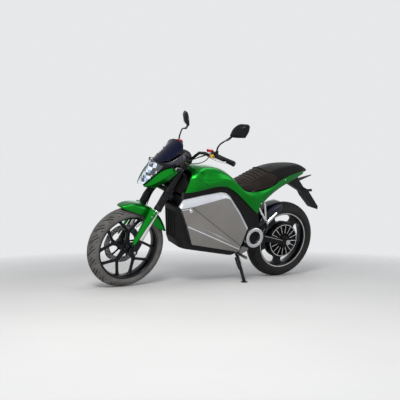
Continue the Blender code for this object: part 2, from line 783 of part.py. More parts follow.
def read_line(line, x):
    """Height of a side-view line at x."""
    return float(np.interp(x, [point[0] for point in line], [point[1] for point in line]))


def strip(tops, feet, outer, inner):
    """Closed bar between a top line and a foot line, from y = inner to y = outer."""
    sections = []
    for (top, foot, far, near) in zip(tops, feet, outer, inner):
        sections.append([(top[0], far, top[1]), (foot[0], far, foot[1]),
                         (foot[0], near, foot[1]), (top[0], near, top[1])])
    return loft(sections)


RAIL_STATIONS = 5
RAIL_START_X = 0.050


def frame():
    """Arched twin spars with head tube, cross tubes, seat rails and pivot plates."""
    count = len(SPAR_SHARES)
    spar = strip(SPAR_TOP_LINE, SPAR_LOW_LINE, [SPAR_OUTER] * count, [SPAR_INNER] * count)
    # seat rail from inside the arch back to the tail, inside the flank
    xs = np.linspace(RAIL_START_X, SPAR_REAR + SPAR_LENGTH * 0.22, RAIL_STATIONS)
    tops = []
    feet = []
    outer = []
    for x in xs:
        low = read_line(FLANK_FOOT_LINE, x)
        high = read_line(FLANK_TOP_LINE, x)
        back = min(float(np.interp(x, [point[0] for point in line], FLANK_BACKS))
                   for line in (FLANK_TOP_LINE, FLANK_FOOT_LINE))
        tops.append((x, high - RAIL_INSET))
        feet.append((x, low + RAIL_INSET))
        outer.append(back - RAIL_INSET * 0.5)
    weld = read_line(SPAR_TOP_LINE, xs[-1]) - RAIL_INSET
    feet[-1] = (xs[-1], min(feet[-1][1], weld))
    rail = strip(tops, feet, outer, [far - RAIL_INSET for far in outer])
    half = fuse(spar, rail)
    other = flipped(half)

    tube_low = fork_point(LOWER_YOKE_RISE + YOKE_THICKNESS / 2 + HEAD_TUBE_GAP)
    tube_high = fork_point(UPPER_YOKE_RISE - YOKE_THICKNESS / 2 - HEAD_TUBE_GAP)
    head = rod(tube_low, tube_high, HEAD_TUBE_RADIUS, 20)
    neck_rear = SPAR_REAR + SPAR_LENGTH * 0.90
    top = read_line(SPAR_TOP_LINE, neck_rear)
    foot = read_line(SPAR_LOW_LINE, neck_rear)
    behind = neck_rear - SPAR_INNER
    corners = []
    for side in (1, -1):
        corners += [(neck_rear, side * NECK_REAR_HALF, top), (neck_rear, side * NECK_REAR_HALF, foot),
                    (behind, side * NECK_REAR_HALF, top),
                    (behind, side * NECK_REAR_HALF, read_line(SPAR_LOW_LINE, behind))]
        for spot in (tube_low + FORK_AXIS * OVERRUN, tube_high - FORK_AXIS * OVERRUN):
            corners.append(spot + LEFT * HEAD_TUBE_RADIUS * 0.85 * side)
    neck = hull(corners)
    ties = []
    for (x, z) in ((SPAR_TOP_LINE[6][0], SPAR_TOP_LINE[6][1] - CROSS_TUBE_RADIUS * 2),
                   (SPAR_TOP_LINE[4][0], SPAR_TOP_LINE[4][1] - CROSS_TUBE_RADIUS * 2)):
        ties.append(rod((x, -SPAR_OUTER + SINK, z), (x, SPAR_OUTER - SINK, z), CROSS_TUBE_RADIUS))
    pivot = rod((PIVOT_X, -SPAR_OUTER + SINK, PIVOT_Z), (PIVOT_X, SPAR_OUTER - SINK, PIVOT_Z),
                PIVOT_BOLT_RADIUS)
    # lug of the side stand, square to its hinge, between the leg's eye and the left plate's foot
    turn = axes_at(STAND_PIVOT, STAND_AXIS)
    points = []
    for along in (STAND_LUG_HALF + CLEAR, STAND_LUG_HALF * 3):
        points += [turn @ Vector((across, aside, along))
                   for across, aside in arc(STAND_LUG_RADIUS, 0, 330, 12)]
    top = SPAR_FLOOR + STAND_LUG_RADIUS
    for x in (STAND_PIVOT_X - STAND_LUG_RADIUS, STAND_PIVOT_X - STAND_LUG_HALF * 2):
        points += [(x, SPAR_INNER + SINK, top), (x, SPAR_OUTER - STAND_LUG_HALF, top)]
    hanger = hull(points)
    whole = fuse(half, other, head, neck, *ties, pivot, hanger)
    bore = STEM_RADIUS + BEARING_GAP
    reach = FORK_AXIS * OVERRUN
    whole = cut(whole, rod(tube_low - reach, tube_high + reach, bore, 24))
    keep("frame", whole, "body", BLACK)


frame()


# Battery, its cowl and the side covers

def battery():
    """Plain block for the battery, which fills the space under the spars."""
    under = [(x, z - BATTERY_TOP_DROP) for x, z in SPAR_LOW_LINE if BATTERY_REAR < x < BATTERY_FRONT]
    rear_top = read_line(SPAR_LOW_LINE, BATTERY_REAR) - BATTERY_TOP_DROP
    front_top = read_line(SPAR_LOW_LINE, BATTERY_FRONT) - BATTERY_TOP_DROP
    outline = [(BATTERY_REAR, BATTERY_FLOOR), (BATTERY_REAR, rear_top)] + under
    outline += [(BATTERY_FRONT, front_top), (BATTERY_FRONT, BATTERY_FLOOR)]
    keep("battery", plate(outline, -SPAR_OUTER, SPAR_OUTER), "body", BLACK)


# cowl outline (along, up) from the rear of the belly round the nose to the top
COWL_SHARES = ((0.000, 0.040), (0.060, 0.000), (0.817, 0.180), (0.893, 0.217), (0.940, 0.354),
               (1.000, 0.936), (0.985, 1.000))


def cowl():
    """Black cowl in front of the battery and pan under it, with upright ribs on its nose."""
    outer = in_box(COWL_REAR, COWL_LENGTH, COWL_FLOOR, COWL_HEIGHT, COWL_SHARES)
    front = BATTERY_FRONT + CLEAR
    low = BATTERY_FLOOR - CLEAR
    top = outer[-1][1]
    back = [(front, top), (front, low), (outer[0][0], low)]
    narrow = []
    for x, z in outer:
        shift = COWL_SHRINK if x > BATTERY_FRONT else 0.0
        lifted = min(z + COWL_SHRINK / 2, low - COWL_WALL) if z < low else z
        narrow.append((max(x - shift, front + COWL_WALL) if shift else x, lifted))
    sections = []
    for half, line in ((-COWL_HALF, narrow), (-COWL_NOSE_HALF, outer),
                       (COWL_NOSE_HALF, outer), (COWL_HALF, narrow)):
        sections.append([(x, half, z) for x, z in line + back])
    body = loft(sections)
    ribs = []
    foot = Vector((outer[4][0], 0, outer[4][1]))
    head = Vector((outer[5][0], 0, outer[5][1]))
    run = head - foot
    turn = Matrix.Rotation(math.atan2(run.x, run.z), 3, "Y")
    for index in range(COWL_RIB_COUNT):
        left = (index - (COWL_RIB_COUNT - 1) / 2) * COWL_RIB_PITCH
        centre = foot + run * 0.5 + LEFT * left
        ribs.append(block(centre, (COWL_RIB_HEIGHT * 2, COWL_RIB_WIDTH, run.length * 0.92), turn))
    keep("battery_cowl", fuse(body, *ribs), "body", BLACK)


# cover stations from the rear forward: top (along, up), foot (along, up), bow of the middle
COVER_SHARES = (
    ((0.000, 0.406), (COVER_FOOT_SHARE, 0.004), 0.000),
    ((0.141, 0.661), (0.230, 0.030), 0.000),
    ((0.343, 0.885), (0.400, 0.068), 0.000),
    ((0.433, 1.000), (0.540, 0.100), 0.000),
    ((0.697, 0.950), (0.680, 0.132), 0.000),
    ((0.949, 0.868), (0.785, 0.160), 1.000),
)
# rows down the cover: share of the way down, bulge share, bow share
COVER_ROW_SHARES = ((0.00, 0.30, 0.00), (0.09, 0.72, 0.85), (0.15, 0.88, 1.00), (0.55, 1.00, 0.35),
                    (0.80, 1.00, 0.10), (1.00, 0.35, 0.00))
COVER_BOW = 0.050


def side_covers():
    """Silver covers over the battery's sides, folded along their top band and lower crease."""
    tops = in_box(COVER_REAR, COVER_LENGTH, COVER_FLOOR, COVER_HEIGHT, [row[0] for row in COVER_SHARES])
    feet = in_box(COVER_REAR, COVER_LENGTH, COVER_FLOOR, COVER_HEIGHT, [row[1] for row in COVER_SHARES])
    rows = []
    backs = []
    for down, bulge, bow in COVER_ROW_SHARES:
        row = []
        for (top, foot, station) in zip(tops, feet, COVER_SHARES):
            x = top[0] + (foot[0] - top[0]) * down + COVER_BOW * bow * station[2]
            z = top[1] + (foot[1] - top[1]) * down
            row.append((x, COVER_BACK + COVER_BULGE * bulge, z))
        rows.append(row)
        backs.append([(x, COVER_BACK, z) for x, _, z in row])
    keep_pair("side_cover", backed(rows, backs), "body", SILVER)


def pivot_rings():
    """Machined ring over each end of the swingarm pivot."""
    low = SPAR_OUTER + CLEAR
    high = low + RING_DEPTH
    profile = [(RING_RADIUS - RING_DEPTH * 0.2, high), (RING_RADIUS, high - RING_DEPTH * 0.25),
               (RING_RADIUS, low), (RING_HOLE, low), (RING_HOLE, high - RING_DEPTH * 0.25),
               (RING_HOLE + RING_DEPTH * 0.2, high)]
    collar = ring(profile, 28, Vector((PIVOT_X, 0, PIVOT_Z)))
    keep_pair("pivot_ring", collar, "body", ALLOY)


battery()
cowl()
side_covers()
pivot_rings()


# Green bodywork

# rows of a flank from its top line to its foot: share of the way down, bulge share
FLANK_ROW_SHARES = ((0.00, 0.0), (0.12, 0.85), (0.38, 1.0), (1.00, 0.0))


def flanks():
    """Green side bodies that sweep over the arch and back to the tail."""
    rows = []
    backs = []
    for down, bulge in FLANK_ROW_SHARES:
        row = []
        back_row = []
        for top, foot, station in zip(FLANK_TOP_LINE, FLANK_FOOT_LINE, FLANK_SHARES):
            x = top[0] + (foot[0] - top[0]) * down
            z = top[1] + (foot[1] - top[1]) * down
            full = station[3] * FLANK_FULL
            edge = station[4] * FLANK_FULL
            row.append((x, edge + (full - edge) * bulge + SINK, z))
            back_row.append((x, station[2] * FLANK_BACK, z))
        rows.append(row)
        backs.append(back_row)
    keep_pair("flank", backed(rows, backs), "body", GREEN)


# tank stations from the rear forward: along, crown height share, shoulder width share, edge share
TANK_SHARES = (
    (0.000, 0.40, 0.62, 0.86),
    (0.130, 0.62, 0.66, 0.92),
    (0.300, 0.86, 0.72, 0.97),
    (0.500, 0.98, 0.80, 0.99),
    (0.700, 1.00, 0.84, 0.99),
    (0.830, 0.98, 0.84, 0.98),
    (0.920, 0.93, 0.82, 0.93),
    (1.000, 0.78, 0.78, 0.86),
)


def tank_edge(x):
    """Height of the tank cover's underside."""
    return read_line(FLANK_TOP_LINE, x) + CLEAR


def tank_xs():
    """Stations of the tank cover, with every corner of the flank line that it follows."""
    own = {round(TANK_REAR + share[0] * (TANK_FRONT - TANK_REAR), 6) for share in TANK_SHARES}
    own |= {round(x, 6) for x, _ in FLANK_TOP_LINE if TANK_REAR < x < TANK_FRONT}
    return sorted(own)


TANK_ROW_SHARES = ((-1.0, 0.0, 0), (-0.97, 0.30, 1), (-1.0, 0.80, 2), (-0.5, 0.97, 2), (0.0, 1.0, 2),
                   (0.5, 0.97, 2), (1.0, 0.80, 2), (0.97, 0.30, 1), (1.0, 0.0, 0))


def tank_cover():
    """Green cover over the tank space, its edges on the flanks' top line."""
    sections = []
    names = [share[0] for share in TANK_SHARES]
    for x in tank_xs():
        section = []
        for across, rise, kind in TANK_ROW_SHARES:
            along = (x - TANK_REAR) / (TANK_FRONT - TANK_REAR)
            crown = float(np.interp(along, names, [share[1] for share in TANK_SHARES]))
            shoulder = float(np.interp(along, names, [share[2] for share in TANK_SHARES]))
            edge = float(np.interp(along, names, [share[3] for share in TANK_SHARES])) * FLANK_FULL
            low = tank_edge(x)
            rear_low = tank_edge(TANK_REAR)
            high = rear_low + (TANK_CROWN - rear_low) * crown
            half = edge * (shoulder if kind == 2 else 1.0)
            section.append((x, half * across, low + max(high - low, RAIL_INSET) * rise))
        sections.append(section)
    keep("tank_cover", loft(sections), "body", GREEN)


SEAT_RISE = 0.142
SEAT_FLOOR = FLANK_FLOOR + SEAT_RISE
SEAT_HEIGHT = 0.252
RIDER_FRONT = 0.524
# seat stations from the rear: along, top height, half width at the shoulder and at the foot
RIDER_SHARES = (
    (0.00, 0.865, 0.70, 0.98),
    (0.30, 0.740, 0.74, 1.02),
    (0.60, 0.570, 0.74, 1.04),
    (0.80, 0.500, 0.68, 0.98),
    (1.00, 0.460, 0.52, 0.80),
)
PASSENGER_OVERHANG = 0.033
PASSENGER_REAR = FLANK_REAR - PASSENGER_OVERHANG
PASSENGER_SHARES = (
    (0.00, 0.850, 0.36, 0.42),
    (0.10, 0.945, 0.50, 0.56),
    (0.40, 1.000, 0.64, 0.72),
    (0.75, 0.985, 0.70, 0.84),
    (1.00, 0.865, 0.70, 0.90),
)
SEAT_ROW_SHARES = ((-1.0, 0.0, 1), (-1.0, 0.35, 1), (-0.92, 0.80, 0), (-0.55, 0.97, 0), (0.0, 1.0, 0),
                   (0.55, 0.97, 0), (0.92, 0.80, 0), (1.0, 0.35, 1), (1.0, 0.0, 1))


def seat(name, rear, front, table, colour, slants):
    """Closed seat pad on the flanks' top line, its ends slanted by the given lengths."""
    names = [row[0] for row in table]
    stations = sorted({round(float(place), 6) for place in names}
                      | {round((x - rear) / (front - rear), 6) for x, _ in FLANK_TOP_LINE
                         if rear < x < front})
    sections = []
    for place in stations:
        top = SEAT_FLOOR + SEAT_HEIGHT * float(np.interp(place, names, [row[1] for row in table]))
        shoulder = SEAT_HALF * float(np.interp(place, names, [row[2] for row in table]))
        foot = SEAT_HALF * float(np.interp(place, names, [row[3] for row in table]))
        lean_back = slants[0] * (1 - place) + slants[1] * place
        x = rear + (front - rear) * place
        base = read_line(FLANK_TOP_LINE, x) + CLEAR * 2
        section = []
        for across, rise, kind in SEAT_ROW_SHARES:
            half = foot if kind == 1 else shoulder
            section.append((x + lean_back * rise, half * across,
                            base + max(top - base, RAIL_INSET) * rise))
        sections.append(section)
    keep(name, loft(sections), "body", colour)


flanks()
tank_cover()
slant = SEAT_SPLIT_TOP - SEAT_SPLIT_FOOT
seat("seat_rider", SEAT_SPLIT_FOOT + SEAT_SPLIT_GAP, TANK_REAR - SEAT_FRONT_GAP, RIDER_SHARES,
     BROWN, (slant, 0.0))
seat("seat_passenger", PASSENGER_REAR, SEAT_SPLIT_FOOT, PASSENGER_SHARES, BLACK, (0.0, slant))


# Tail

ARM_HALF = 0.036
ARM_SETBACK = 0.235
ARM_REAR = FLANK_REAR - ARM_SETBACK
ARM_LENGTH = 0.377
ARM_RISE = 0.013
ARM_FLOOR = FLANK_FLOOR + ARM_RISE
ARM_HEIGHT = 0.294
# outline (along, up) of the plate hanger, from its root under the tail down to its tip and back
ARM_SHARES = ((0.990, 0.800), (0.800, 0.850), (0.640, 0.830), (0.490, 0.640), (0.370, 0.580),
              (0.000, 0.090), (0.000, 0.000), (0.140, 0.045), (0.430, 0.375), (0.510, 0.500),
              (0.910, 0.730))
# root block between the flanks, as (along, up)
ARM_ROOT_SHARES = ((1.000, 0.780), (0.980, 0.930), (0.735, 1.020), (0.735, 0.840))
ARM_ROOT_HALF = 0.0592
PLATE_HALF = 0.080
PLATE_THICKNESS = 0.003
# root of the blade in the hanger's box: along, up
BLADE_ROOT_SHARES = ((0.655, 0.806),)
BLADE_LENGTH = 0.151
BLADE_RISE = 0.049
BLADE_HALF = 0.030
BLADE_THICKNESS = 0.010
REAR_LAMP_LENGTH = 0.045
REAR_LAMP_RADIUS = 0.012
REAR_LAMP_SPREAD = 0.118


def rear_mudguard():
    """Plate hanger with its root under the tail, thin blade, and the two rear indicators."""
    outline = in_box(ARM_REAR, ARM_LENGTH, ARM_FLOOR, ARM_HEIGHT, ARM_SHARES)
    arm = plate(outline, -ARM_HALF, ARM_HALF)
    root_outline = in_box(ARM_REAR, ARM_LENGTH, ARM_FLOOR, ARM_HEIGHT, ARM_ROOT_SHARES)
    under_tail = plate(root_outline, -ARM_ROOT_HALF, ARM_ROOT_HALF)
    (x, z), = in_box(ARM_REAR, ARM_LENGTH, ARM_FLOOR, ARM_HEIGHT, BLADE_ROOT_SHARES)
    root = Vector((x, 0, z))
    tip = root + Vector((-BLADE_LENGTH, 0, BLADE_RISE))
    thin = Vector((0, 0, BLADE_THICKNESS / 2))
    points = [tip + LEFT * BLADE_HALF * 0.4, tip - LEFT * BLADE_HALF * 0.4]
    for side in (1, -1):
        points += [root + LEFT * BLADE_HALF * side + thin, root + LEFT * BLADE_HALF * side - thin]
    blade = hull(points + [tip + thin * 0.5])
    lamps = []
    knee = outline[3]
    for _, side in SIDES:
        base = Vector((knee[0], 0, knee[1] - REAR_LAMP_RADIUS))
        lamps.append(rod(base, base + LEFT * REAR_LAMP_SPREAD * side, REAR_LAMP_RADIUS * 0.5, 10))
        centre = base + LEFT * (REAR_LAMP_SPREAD - REAR_LAMP_RADIUS) * side
        ahead = Vector((REAR_LAMP_LENGTH / 2, 0, 0))
        lamps.append(rod(centre - ahead, centre + ahead, REAR_LAMP_RADIUS, 12,
                         REAR_LAMP_RADIUS * 0.6))
    keep("rear_mudguard", fuse(arm, under_tail, blade, *lamps), "body", BLACK)


TAIL_LAMP_HALF = 0.0547
TAIL_LAMP_LENGTH = 0.030
TAIL_LAMP_HEIGHT = 0.022


def tail_lamp():
    """Lamp between the flanks' tail ends."""
    top = FLANK_TOP_LINE[0]
    centre = Vector((top[0] + TAIL_LAMP_LENGTH * 0.35, 0, top[1] - TAIL_LAMP_HEIGHT * 1.05))
    keep("tail_lamp", block(centre, (TAIL_LAMP_LENGTH, TAIL_LAMP_HALF * 2, TAIL_LAMP_HEIGHT)),
         "body", RED)


rear_mudguard()
tail_lamp()


# Swingarm, rear axle, hugger, shock and rear brake

# arm stations from the pivot back: x share of the way to the axle, half height, inner y, outer y
ARM_ROOT_INNER = 0.052
ARM_TYRE_INNER = 0.093
ARM_OUTER = 0.118
ARM_ROOT_HEIGHT = 0.026
ARM_END_HEIGHT = 0.018
SWINGARM_SHARES = (
    (0.00, 1.00, 0.00, 0.00),
    (0.14, 1.00, 0.00, 0.00),
    (0.30, 0.95, 1.00, 0.85),
    (0.42, 0.90, 1.00, 1.00),
    (1.03, 0.00, 1.00, 1.00),
)


def swingarm():
    """Forked arm from the pivot tube back to the axle, round the tyre."""
    pivot = Vector((PIVOT_X, 0, PIVOT_Z))
    arm_run = REAR_AXLE - pivot
    sections = []
    for share, tall, inner_share, outer_share in SWINGARM_SHARES:
        spot = pivot + arm_run * share
        half = ARM_END_HEIGHT + (ARM_ROOT_HEIGHT - ARM_END_HEIGHT) * tall
        inner = ARM_ROOT_INNER + (ARM_TYRE_INNER - ARM_ROOT_INNER) * inner_share
        outer = PIVOT_TUBE_HALF + (ARM_OUTER - PIVOT_TUBE_HALF) * outer_share
        sections.append([(spot.x, outer, spot.z + half), (spot.x, outer, spot.z - half),
                         (spot.x, inner, spot.z - half), (spot.x, inner, spot.z + half)])
    left = loft(sections)
    end = rod(REAR_AXLE + LEFT * ARM_TYRE_INNER, REAR_AXLE + LEFT * ARM_OUTER,
              ARM_END_HEIGHT * 1.25, 20)
    left = fuse(left, end)
    right = flipped(left)
    half = PIVOT_TUBE_HALF
    tube = rod(pivot - LEFT * half, pivot + LEFT * half, PIVOT_TUBE_RADIUS, 20)
    whole = fuse(tube, left, right)
    bolt = rod(pivot - LEFT * (half + OVERRUN), pivot + LEFT * (half + OVERRUN),
               PIVOT_BOLT_RADIUS + CLEAR, 16)
    reach = ARM_OUTER + OVERRUN
    axle = rod(REAR_AXLE - LEFT * reach, REAR_AXLE + LEFT * reach, REAR_AXLE_RADIUS + CLEAR, 16)
    keep("swingarm", cut(whole, bolt, axle), "body", BLACK)


def rear_axle():
    """Axle through the swingarm's ends, with a nut outside each."""
    axle = rod(REAR_AXLE - LEFT * REAR_AXLE_HALF, REAR_AXLE + LEFT * REAR_AXLE_HALF,
               REAR_AXLE_RADIUS, 16)
    nuts = []
    for _, side in SIDES:
        start = REAR_AXLE + LEFT * (ARM_OUTER + CLEAR) * side
        nuts.append(rod(start, start + LEFT * AXLE_NUT_DEPTH * side * 0.9, AXLE_NUT_RADIUS, 6))
    keep("rear_axle", fuse(axle, *nuts), "body", STEEL)


# hugger stations round the rear axle: angle in degrees, crown gap share, half width share, skirt depth share
HUGGER_GAP = 0.024
HUGGER_HALF = 0.084
HUGGER_SKIRT = 0.090
HUGGER_WALL = 0.003
HUGGER_SHARES = (
    (24, 0.80, 0.92, 0.45),
    (38, 0.90, 1.00, 0.60),
    (52, 1.00, 1.00, 0.85),
    (64, 1.10, 1.00, 1.00),
    (74, 1.05, 0.96, 0.80),
)


def arched(axle, radius, gap, half, skirt, shares):
    """Rows of a guard that arches over a tyre, from one skirt across the crown to the other."""
    rows = []
    for angle, gap_share, half_share, skirt_share in shares:
        crown = radius + gap * gap_share
        wide = half * half_share
        deep = skirt * skirt_share
        row = []
        for across, drop in ((-1.0, 1.0), (-1.0, 0.35), (-0.72, 0.10), (0.0, 0.0),
                             (0.72, 0.10), (1.0, 0.35), (1.0, 1.0)):
            row.append(around(axle, crown - deep * drop, math.radians(angle), wide * across))
        rows.append(row)
    return rows


def hugger():
    """Black guard over the front of the rear tyre, bolted to the swingarm's arms."""
    rows = arched(REAR_AXLE, REAR_TYRE_RADIUS, HUGGER_GAP, HUGGER_HALF, HUGGER_SKIRT, HUGGER_SHARES)
    guard = shell(rows, HUGGER_WALL)
    legs = []
    for _, side in SIDES:
        high = around(REAR_AXLE, REAR_TYRE_RADIUS - HUGGER_SKIRT * 0.3, math.radians(38),
                      (HUGGER_HALF - HUGGER_WALL / 2) * side)
        low = Vector((PIVOT_X * 0.62, (ARM_TYRE_INNER + HUGGER_WALL) * side, PIVOT_Z - SINK))
        legs.append(rod(high, low, HUGGER_WALL * 2, 10))
    guard = fuse(guard, *legs)
    guard = cut(guard, grown(PIECES["swingarm"]))
    keep("hugger", guard, "body", GLOSS_BLACK)


SHOCK_RADIUS = 0.026
SHOCK_CORE = 0.014
SHOCK_TURNS = 6


def shock():
    """Spring and damper between the rear cross tube and the swingarm's pivot tube."""
    top = Vector((SPAR_TOP_LINE[4][0], 0, SPAR_TOP_LINE[4][1] - CROSS_TUBE_RADIUS * 2))
    foot = Vector((PIVOT_X, 0, PIVOT_Z))
    run = foot - top
    core = rod(top, foot, SHOCK_CORE, 12)
    start = top + run * 0.14
    end = top + run * 0.84
    coils = []
    for index in range(SHOCK_TURNS):
        middle = start + (end - start) * ((index + 0.5) / SHOCK_TURNS)
        thick = run.normalized() * (end - start).length / SHOCK_TURNS * 0.28
        coils.append(rod(middle - thick, middle + thick, SHOCK_RADIUS, 14))
    whole = fuse(core, *coils)
    whole = cut(whole, grown(PIECES["frame"]), grown(PIECES["swingarm"]))
    keep("rear_shock", whole, "body", STEEL)


CALIPER_LENGTH = 0.070
CALIPER_HEIGHT = 0.040
CALIPER_WALL = 0.008


def caliper(name, holder, axle, disc_radius, disc_middle, angle, reach_to, carrier):
    """Brake caliper astride a disc's edge, on an arm trimmed to what carries it."""
    turn = Matrix.Rotation(-angle, 3, "Y")
    centre = around(axle, disc_radius - CALIPER_HEIGHT * 0.15, angle, disc_middle)
    size = (CALIPER_HEIGHT, DISC_SLOT + CALIPER_WALL * 2, CALIPER_LENGTH)
    body = block(centre, size, turn)
    arm = rod(centre + around(Vector(), CALIPER_HEIGHT * 0.35, angle), reach_to, CALIPER_WALL, 10)
    rim = disc_radius + DISC_EDGE_GAP
    slot = [(rim, DISC_SLOT / 2), (rim, -DISC_SLOT / 2),
            (disc_radius / 2, -DISC_SLOT / 2), (disc_radius / 2, DISC_SLOT / 2)]
    whole = fuse(body, arm)
    whole = cut(whole, ring(slot, WHEEL_STEPS, axle + LEFT * disc_middle))
    whole = cut(whole, grown(PIECES[carrier]))
    keep(name, whole, holder, ALLOY)


swingarm()
rear_axle()
hugger()
shock()
rear_disc_middle = -(MOTOR_HALF_WIDTH + REAR_DISC_STANDOFF + CLEAR + REAR_DISC_THICKNESS / 2)
caliper("rear_caliper", "body", REAR_AXLE, REAR_DISC_RADIUS, rear_disc_middle, math.radians(70),
        Vector((REAR_DISC_RADIUS * 0.35, -(ARM_TYRE_INNER + ARM_OUTER) / 2, REAR_AXLE.z + SINK)),
        "swingarm")


# Foot pegs

PEG_PLATE_LOW = SPAR_OUTER + CLEAR
PEG_PLATE_THICKNESS = 0.008
PEG_RADIUS = 0.011
PEG_LENGTH = 0.110
RIDER_PEG_BEHIND = 0.0092
RIDER_PEG_X = COVER_REAR + COVER_LENGTH * COVER_FOOT_SHARE - RIDER_PEG_BEHIND
RIDER_PEG_Z = 0.245
# bracket outline as offsets from the peg's axis: along, up, in peg radii
RIDER_BRACKET_SHARES = ((-7.5, 2.1), (-7.5, 3.8), (-2.5, 5.3), (-1.1, 3.6), (-0.4, 1.2), (1.0, 0.5),
                        (1.0, -0.8), (-0.7, -1.2))


def rider_pegs():
    """Silver bracket on each frame plate with its peg."""
    outline = [(RIDER_PEG_X + along * PEG_RADIUS, RIDER_PEG_Z + up * PEG_RADIUS)
               for along, up in RIDER_BRACKET_SHARES]
    high = PEG_PLATE_LOW + PEG_PLATE_THICKNESS
    bracket = plate(outline, PEG_PLATE_LOW, high)
    centre = Vector((RIDER_PEG_X, high - SINK, RIDER_PEG_Z))
    peg = rod(centre, centre + LEFT * PEG_LENGTH, PEG_RADIUS, 12)
    keep_pair("rider_peg", fuse(bracket, peg), "body", ALLOY)


PASSENGER_PIVOT_SHARE = 0.3285
PASSENGER_DROP = 0.060
PASSENGER_PIVOT_X = FLANK_REAR + FLANK_LENGTH * PASSENGER_PIVOT_SHARE
PASSENGER_PIVOT_Z = FLANK_FLOOR - PASSENGER_DROP
STRUT_RADIUS = 0.009
# strut tops as shares of the strut height: along, up
STRUT_RISE = 0.112
STRUT_SHARES = ((0.74, 0.96), (0.30, 1.26))
FOLDED_PEG_SHARES = (-0.62, 0.66)


def passenger_pegs():
    """V-shaped silver hanger on each side with its peg folded up."""
    middle = PEG_PLATE_LOW + STRUT_RADIUS
    foot = Vector((PASSENGER_PIVOT_X, middle, PASSENGER_PIVOT_Z))
    parts = []
    for along, up in STRUT_SHARES:
        top = foot + Vector((STRUT_RISE * along, 0, STRUT_RISE * up))
        parts.append(rod(foot, top, STRUT_RADIUS * 0.9, 10))
    eye = rod(foot - LEFT * STRUT_RADIUS * 0.8, foot + LEFT * STRUT_RADIUS * 3, STRUT_RADIUS * 1.5, 14)
    start = foot + LEFT * STRUT_RADIUS * 2.2
    end = start + Vector((STRUT_RISE * FOLDED_PEG_SHARES[0], STRUT_RISE * 0.1,
                          STRUT_RISE * FOLDED_PEG_SHARES[1]))
    peg = rod(start, end, STRUT_RADIUS, 10)
    whole = fuse(parts[0], parts[1], eye, peg)
    whole = cut(whole, grown(PIECES["flank_left"]))
    keep_pair("passenger_peg", whole, "body", ALLOY)


rider_pegs()
passenger_pegs()


# Fork

def stanchions_and_tubes():
    """Upside-down fork: slim stanchions with axle lugs below, thick tubes above."""
    tube = rod(leg_point(FORK_TUBE_BOTTOM, 1), leg_point(FORK_TUBE_TOP, 1), FORK_TUBE_RADIUS, 20)
    socket = rod(leg_point(FORK_TUBE_BOTTOM - OVERRUN, 1),
                 leg_point(FORK_TUBE_BOTTOM + STANCHION_SINK + CLEAR, 1),
                 STANCHION_RADIUS + CLEAR, 20)
    keep_pair("fork_tube", cut(tube, socket), "fork", BLACK)
    slim = rod(leg_point(LUG_RISE * 0.6, 1), leg_point(FORK_TUBE_BOTTOM + STANCHION_SINK, 1),
               STANCHION_RADIUS, 20)
    lug = rod(leg_point(0, 1), leg_point(LUG_RISE, 1), LUG_RADIUS, 16)
    clamp_centre = leg_point(0, 1)
    clamp = rod(clamp_centre - LEFT * AXLE_CLAMP_DEPTH / 2 * 1.6,
                clamp_centre + LEFT * AXLE_CLAMP_DEPTH / 2 * 1.6, AXLE_CLAMP_RADIUS, 20)
    leg = fuse(slim, lug, clamp)
    reach = LEFT * AXLE_CLAMP_DEPTH * 2
    leg = cut(leg, rod(clamp_centre - reach, clamp_centre + reach, FRONT_AXLE_RADIUS + CLEAR, 16))
    keep_pair("stanchion", leg, "fork", ALLOY)
    reach = LEFT * (FORK_SPREAD + AXLE_CLAMP_DEPTH)
    keep("front_axle", rod(FRONT_AXLE - reach, FRONT_AXLE + reach, FRONT_AXLE_RADIUS, 16), "fork",
         STEEL)


def yokes():
    """Upper and lower yokes joined by the steering stem, with the handlebar's risers."""
    stem = rod(fork_point(LOWER_YOKE_RISE), fork_point(UPPER_YOKE_RISE), STEM_RADIUS, 16)
    parts = []
    for rise in (LOWER_YOKE_RISE, UPPER_YOKE_RISE):
        corners = []
        for level in (rise - YOKE_THICKNESS / 2, rise + YOKE_THICKNESS / 2):
            for _, side in SIDES:
                corners += [fork_point(level, FORK_OFFSET + YOKE_LENGTH / 2, FORK_SPREAD * side),
                            fork_point(level, FORK_OFFSET - YOKE_LENGTH / 2, FORK_SPREAD * side),
                            fork_point(level, -YOKE_REAR, YOKE_REAR_HALF * side)]
        parts.append(hull(corners))
        for _, side in SIDES:
            half = YOKE_THICKNESS / 2 + SINK
            parts.append(rod(leg_point(rise - half, side), leg_point(rise + half, side),
                             YOKE_CLAMP_RADIUS, 20))
    return fuse(stem, *parts)


stanchions_and_tubes()
yoke_body = yokes()
for _, side in SIDES:
    low = leg_point(LOWER_YOKE_RISE - YOKE_THICKNESS, side)
    high = leg_point(UPPER_YOKE_RISE + YOKE_THICKNESS * 1.5, side)
    yoke_body = cut(yoke_body, rod(low, high, FORK_TUBE_RADIUS + CLEAR, 20))


# Handlebar, grips, levers and mirrors, all in the fork's straight-ahead place

BAR_RADIUS = 0.011
GRIP_RADIUS = 0.0165
GRIP_LENGTH = 0.130
BAR_CLAMP_SETBACK = 0.399
BAR_CLAMP_RISE = 0.629
BAR_CLAMP_X = WHEELBASE - BAR_CLAMP_SETBACK
BAR_CLAMP_Z = FRONT_TYRE_RADIUS + BAR_CLAMP_RISE
BAR_RISE = 0.092
BAR_SWEEP = 0.150
BAR_HALF = 0.365
# handlebar route on the left: share of the half width, rise share, sweep back share
BAR_SHARES = ((0.00, 0.00, 0.00), (0.11, 0.00, 0.00), (0.16, 0.10, 0.00), (0.30, 0.62, 0.02),
              (0.40, 0.95, 0.06), (0.48, 1.00, 0.22), (0.61, 0.94, 0.60), (1.00, 0.68, 1.00))
RISER_SPREAD = 0.040
RISER_RADIUS = 0.016


def bar_route(side):
    return [Vector((BAR_CLAMP_X - BAR_SWEEP * sweep, BAR_HALF * share * side,
                    BAR_CLAMP_Z + BAR_RISE * rise)) for share, rise, sweep in BAR_SHARES]


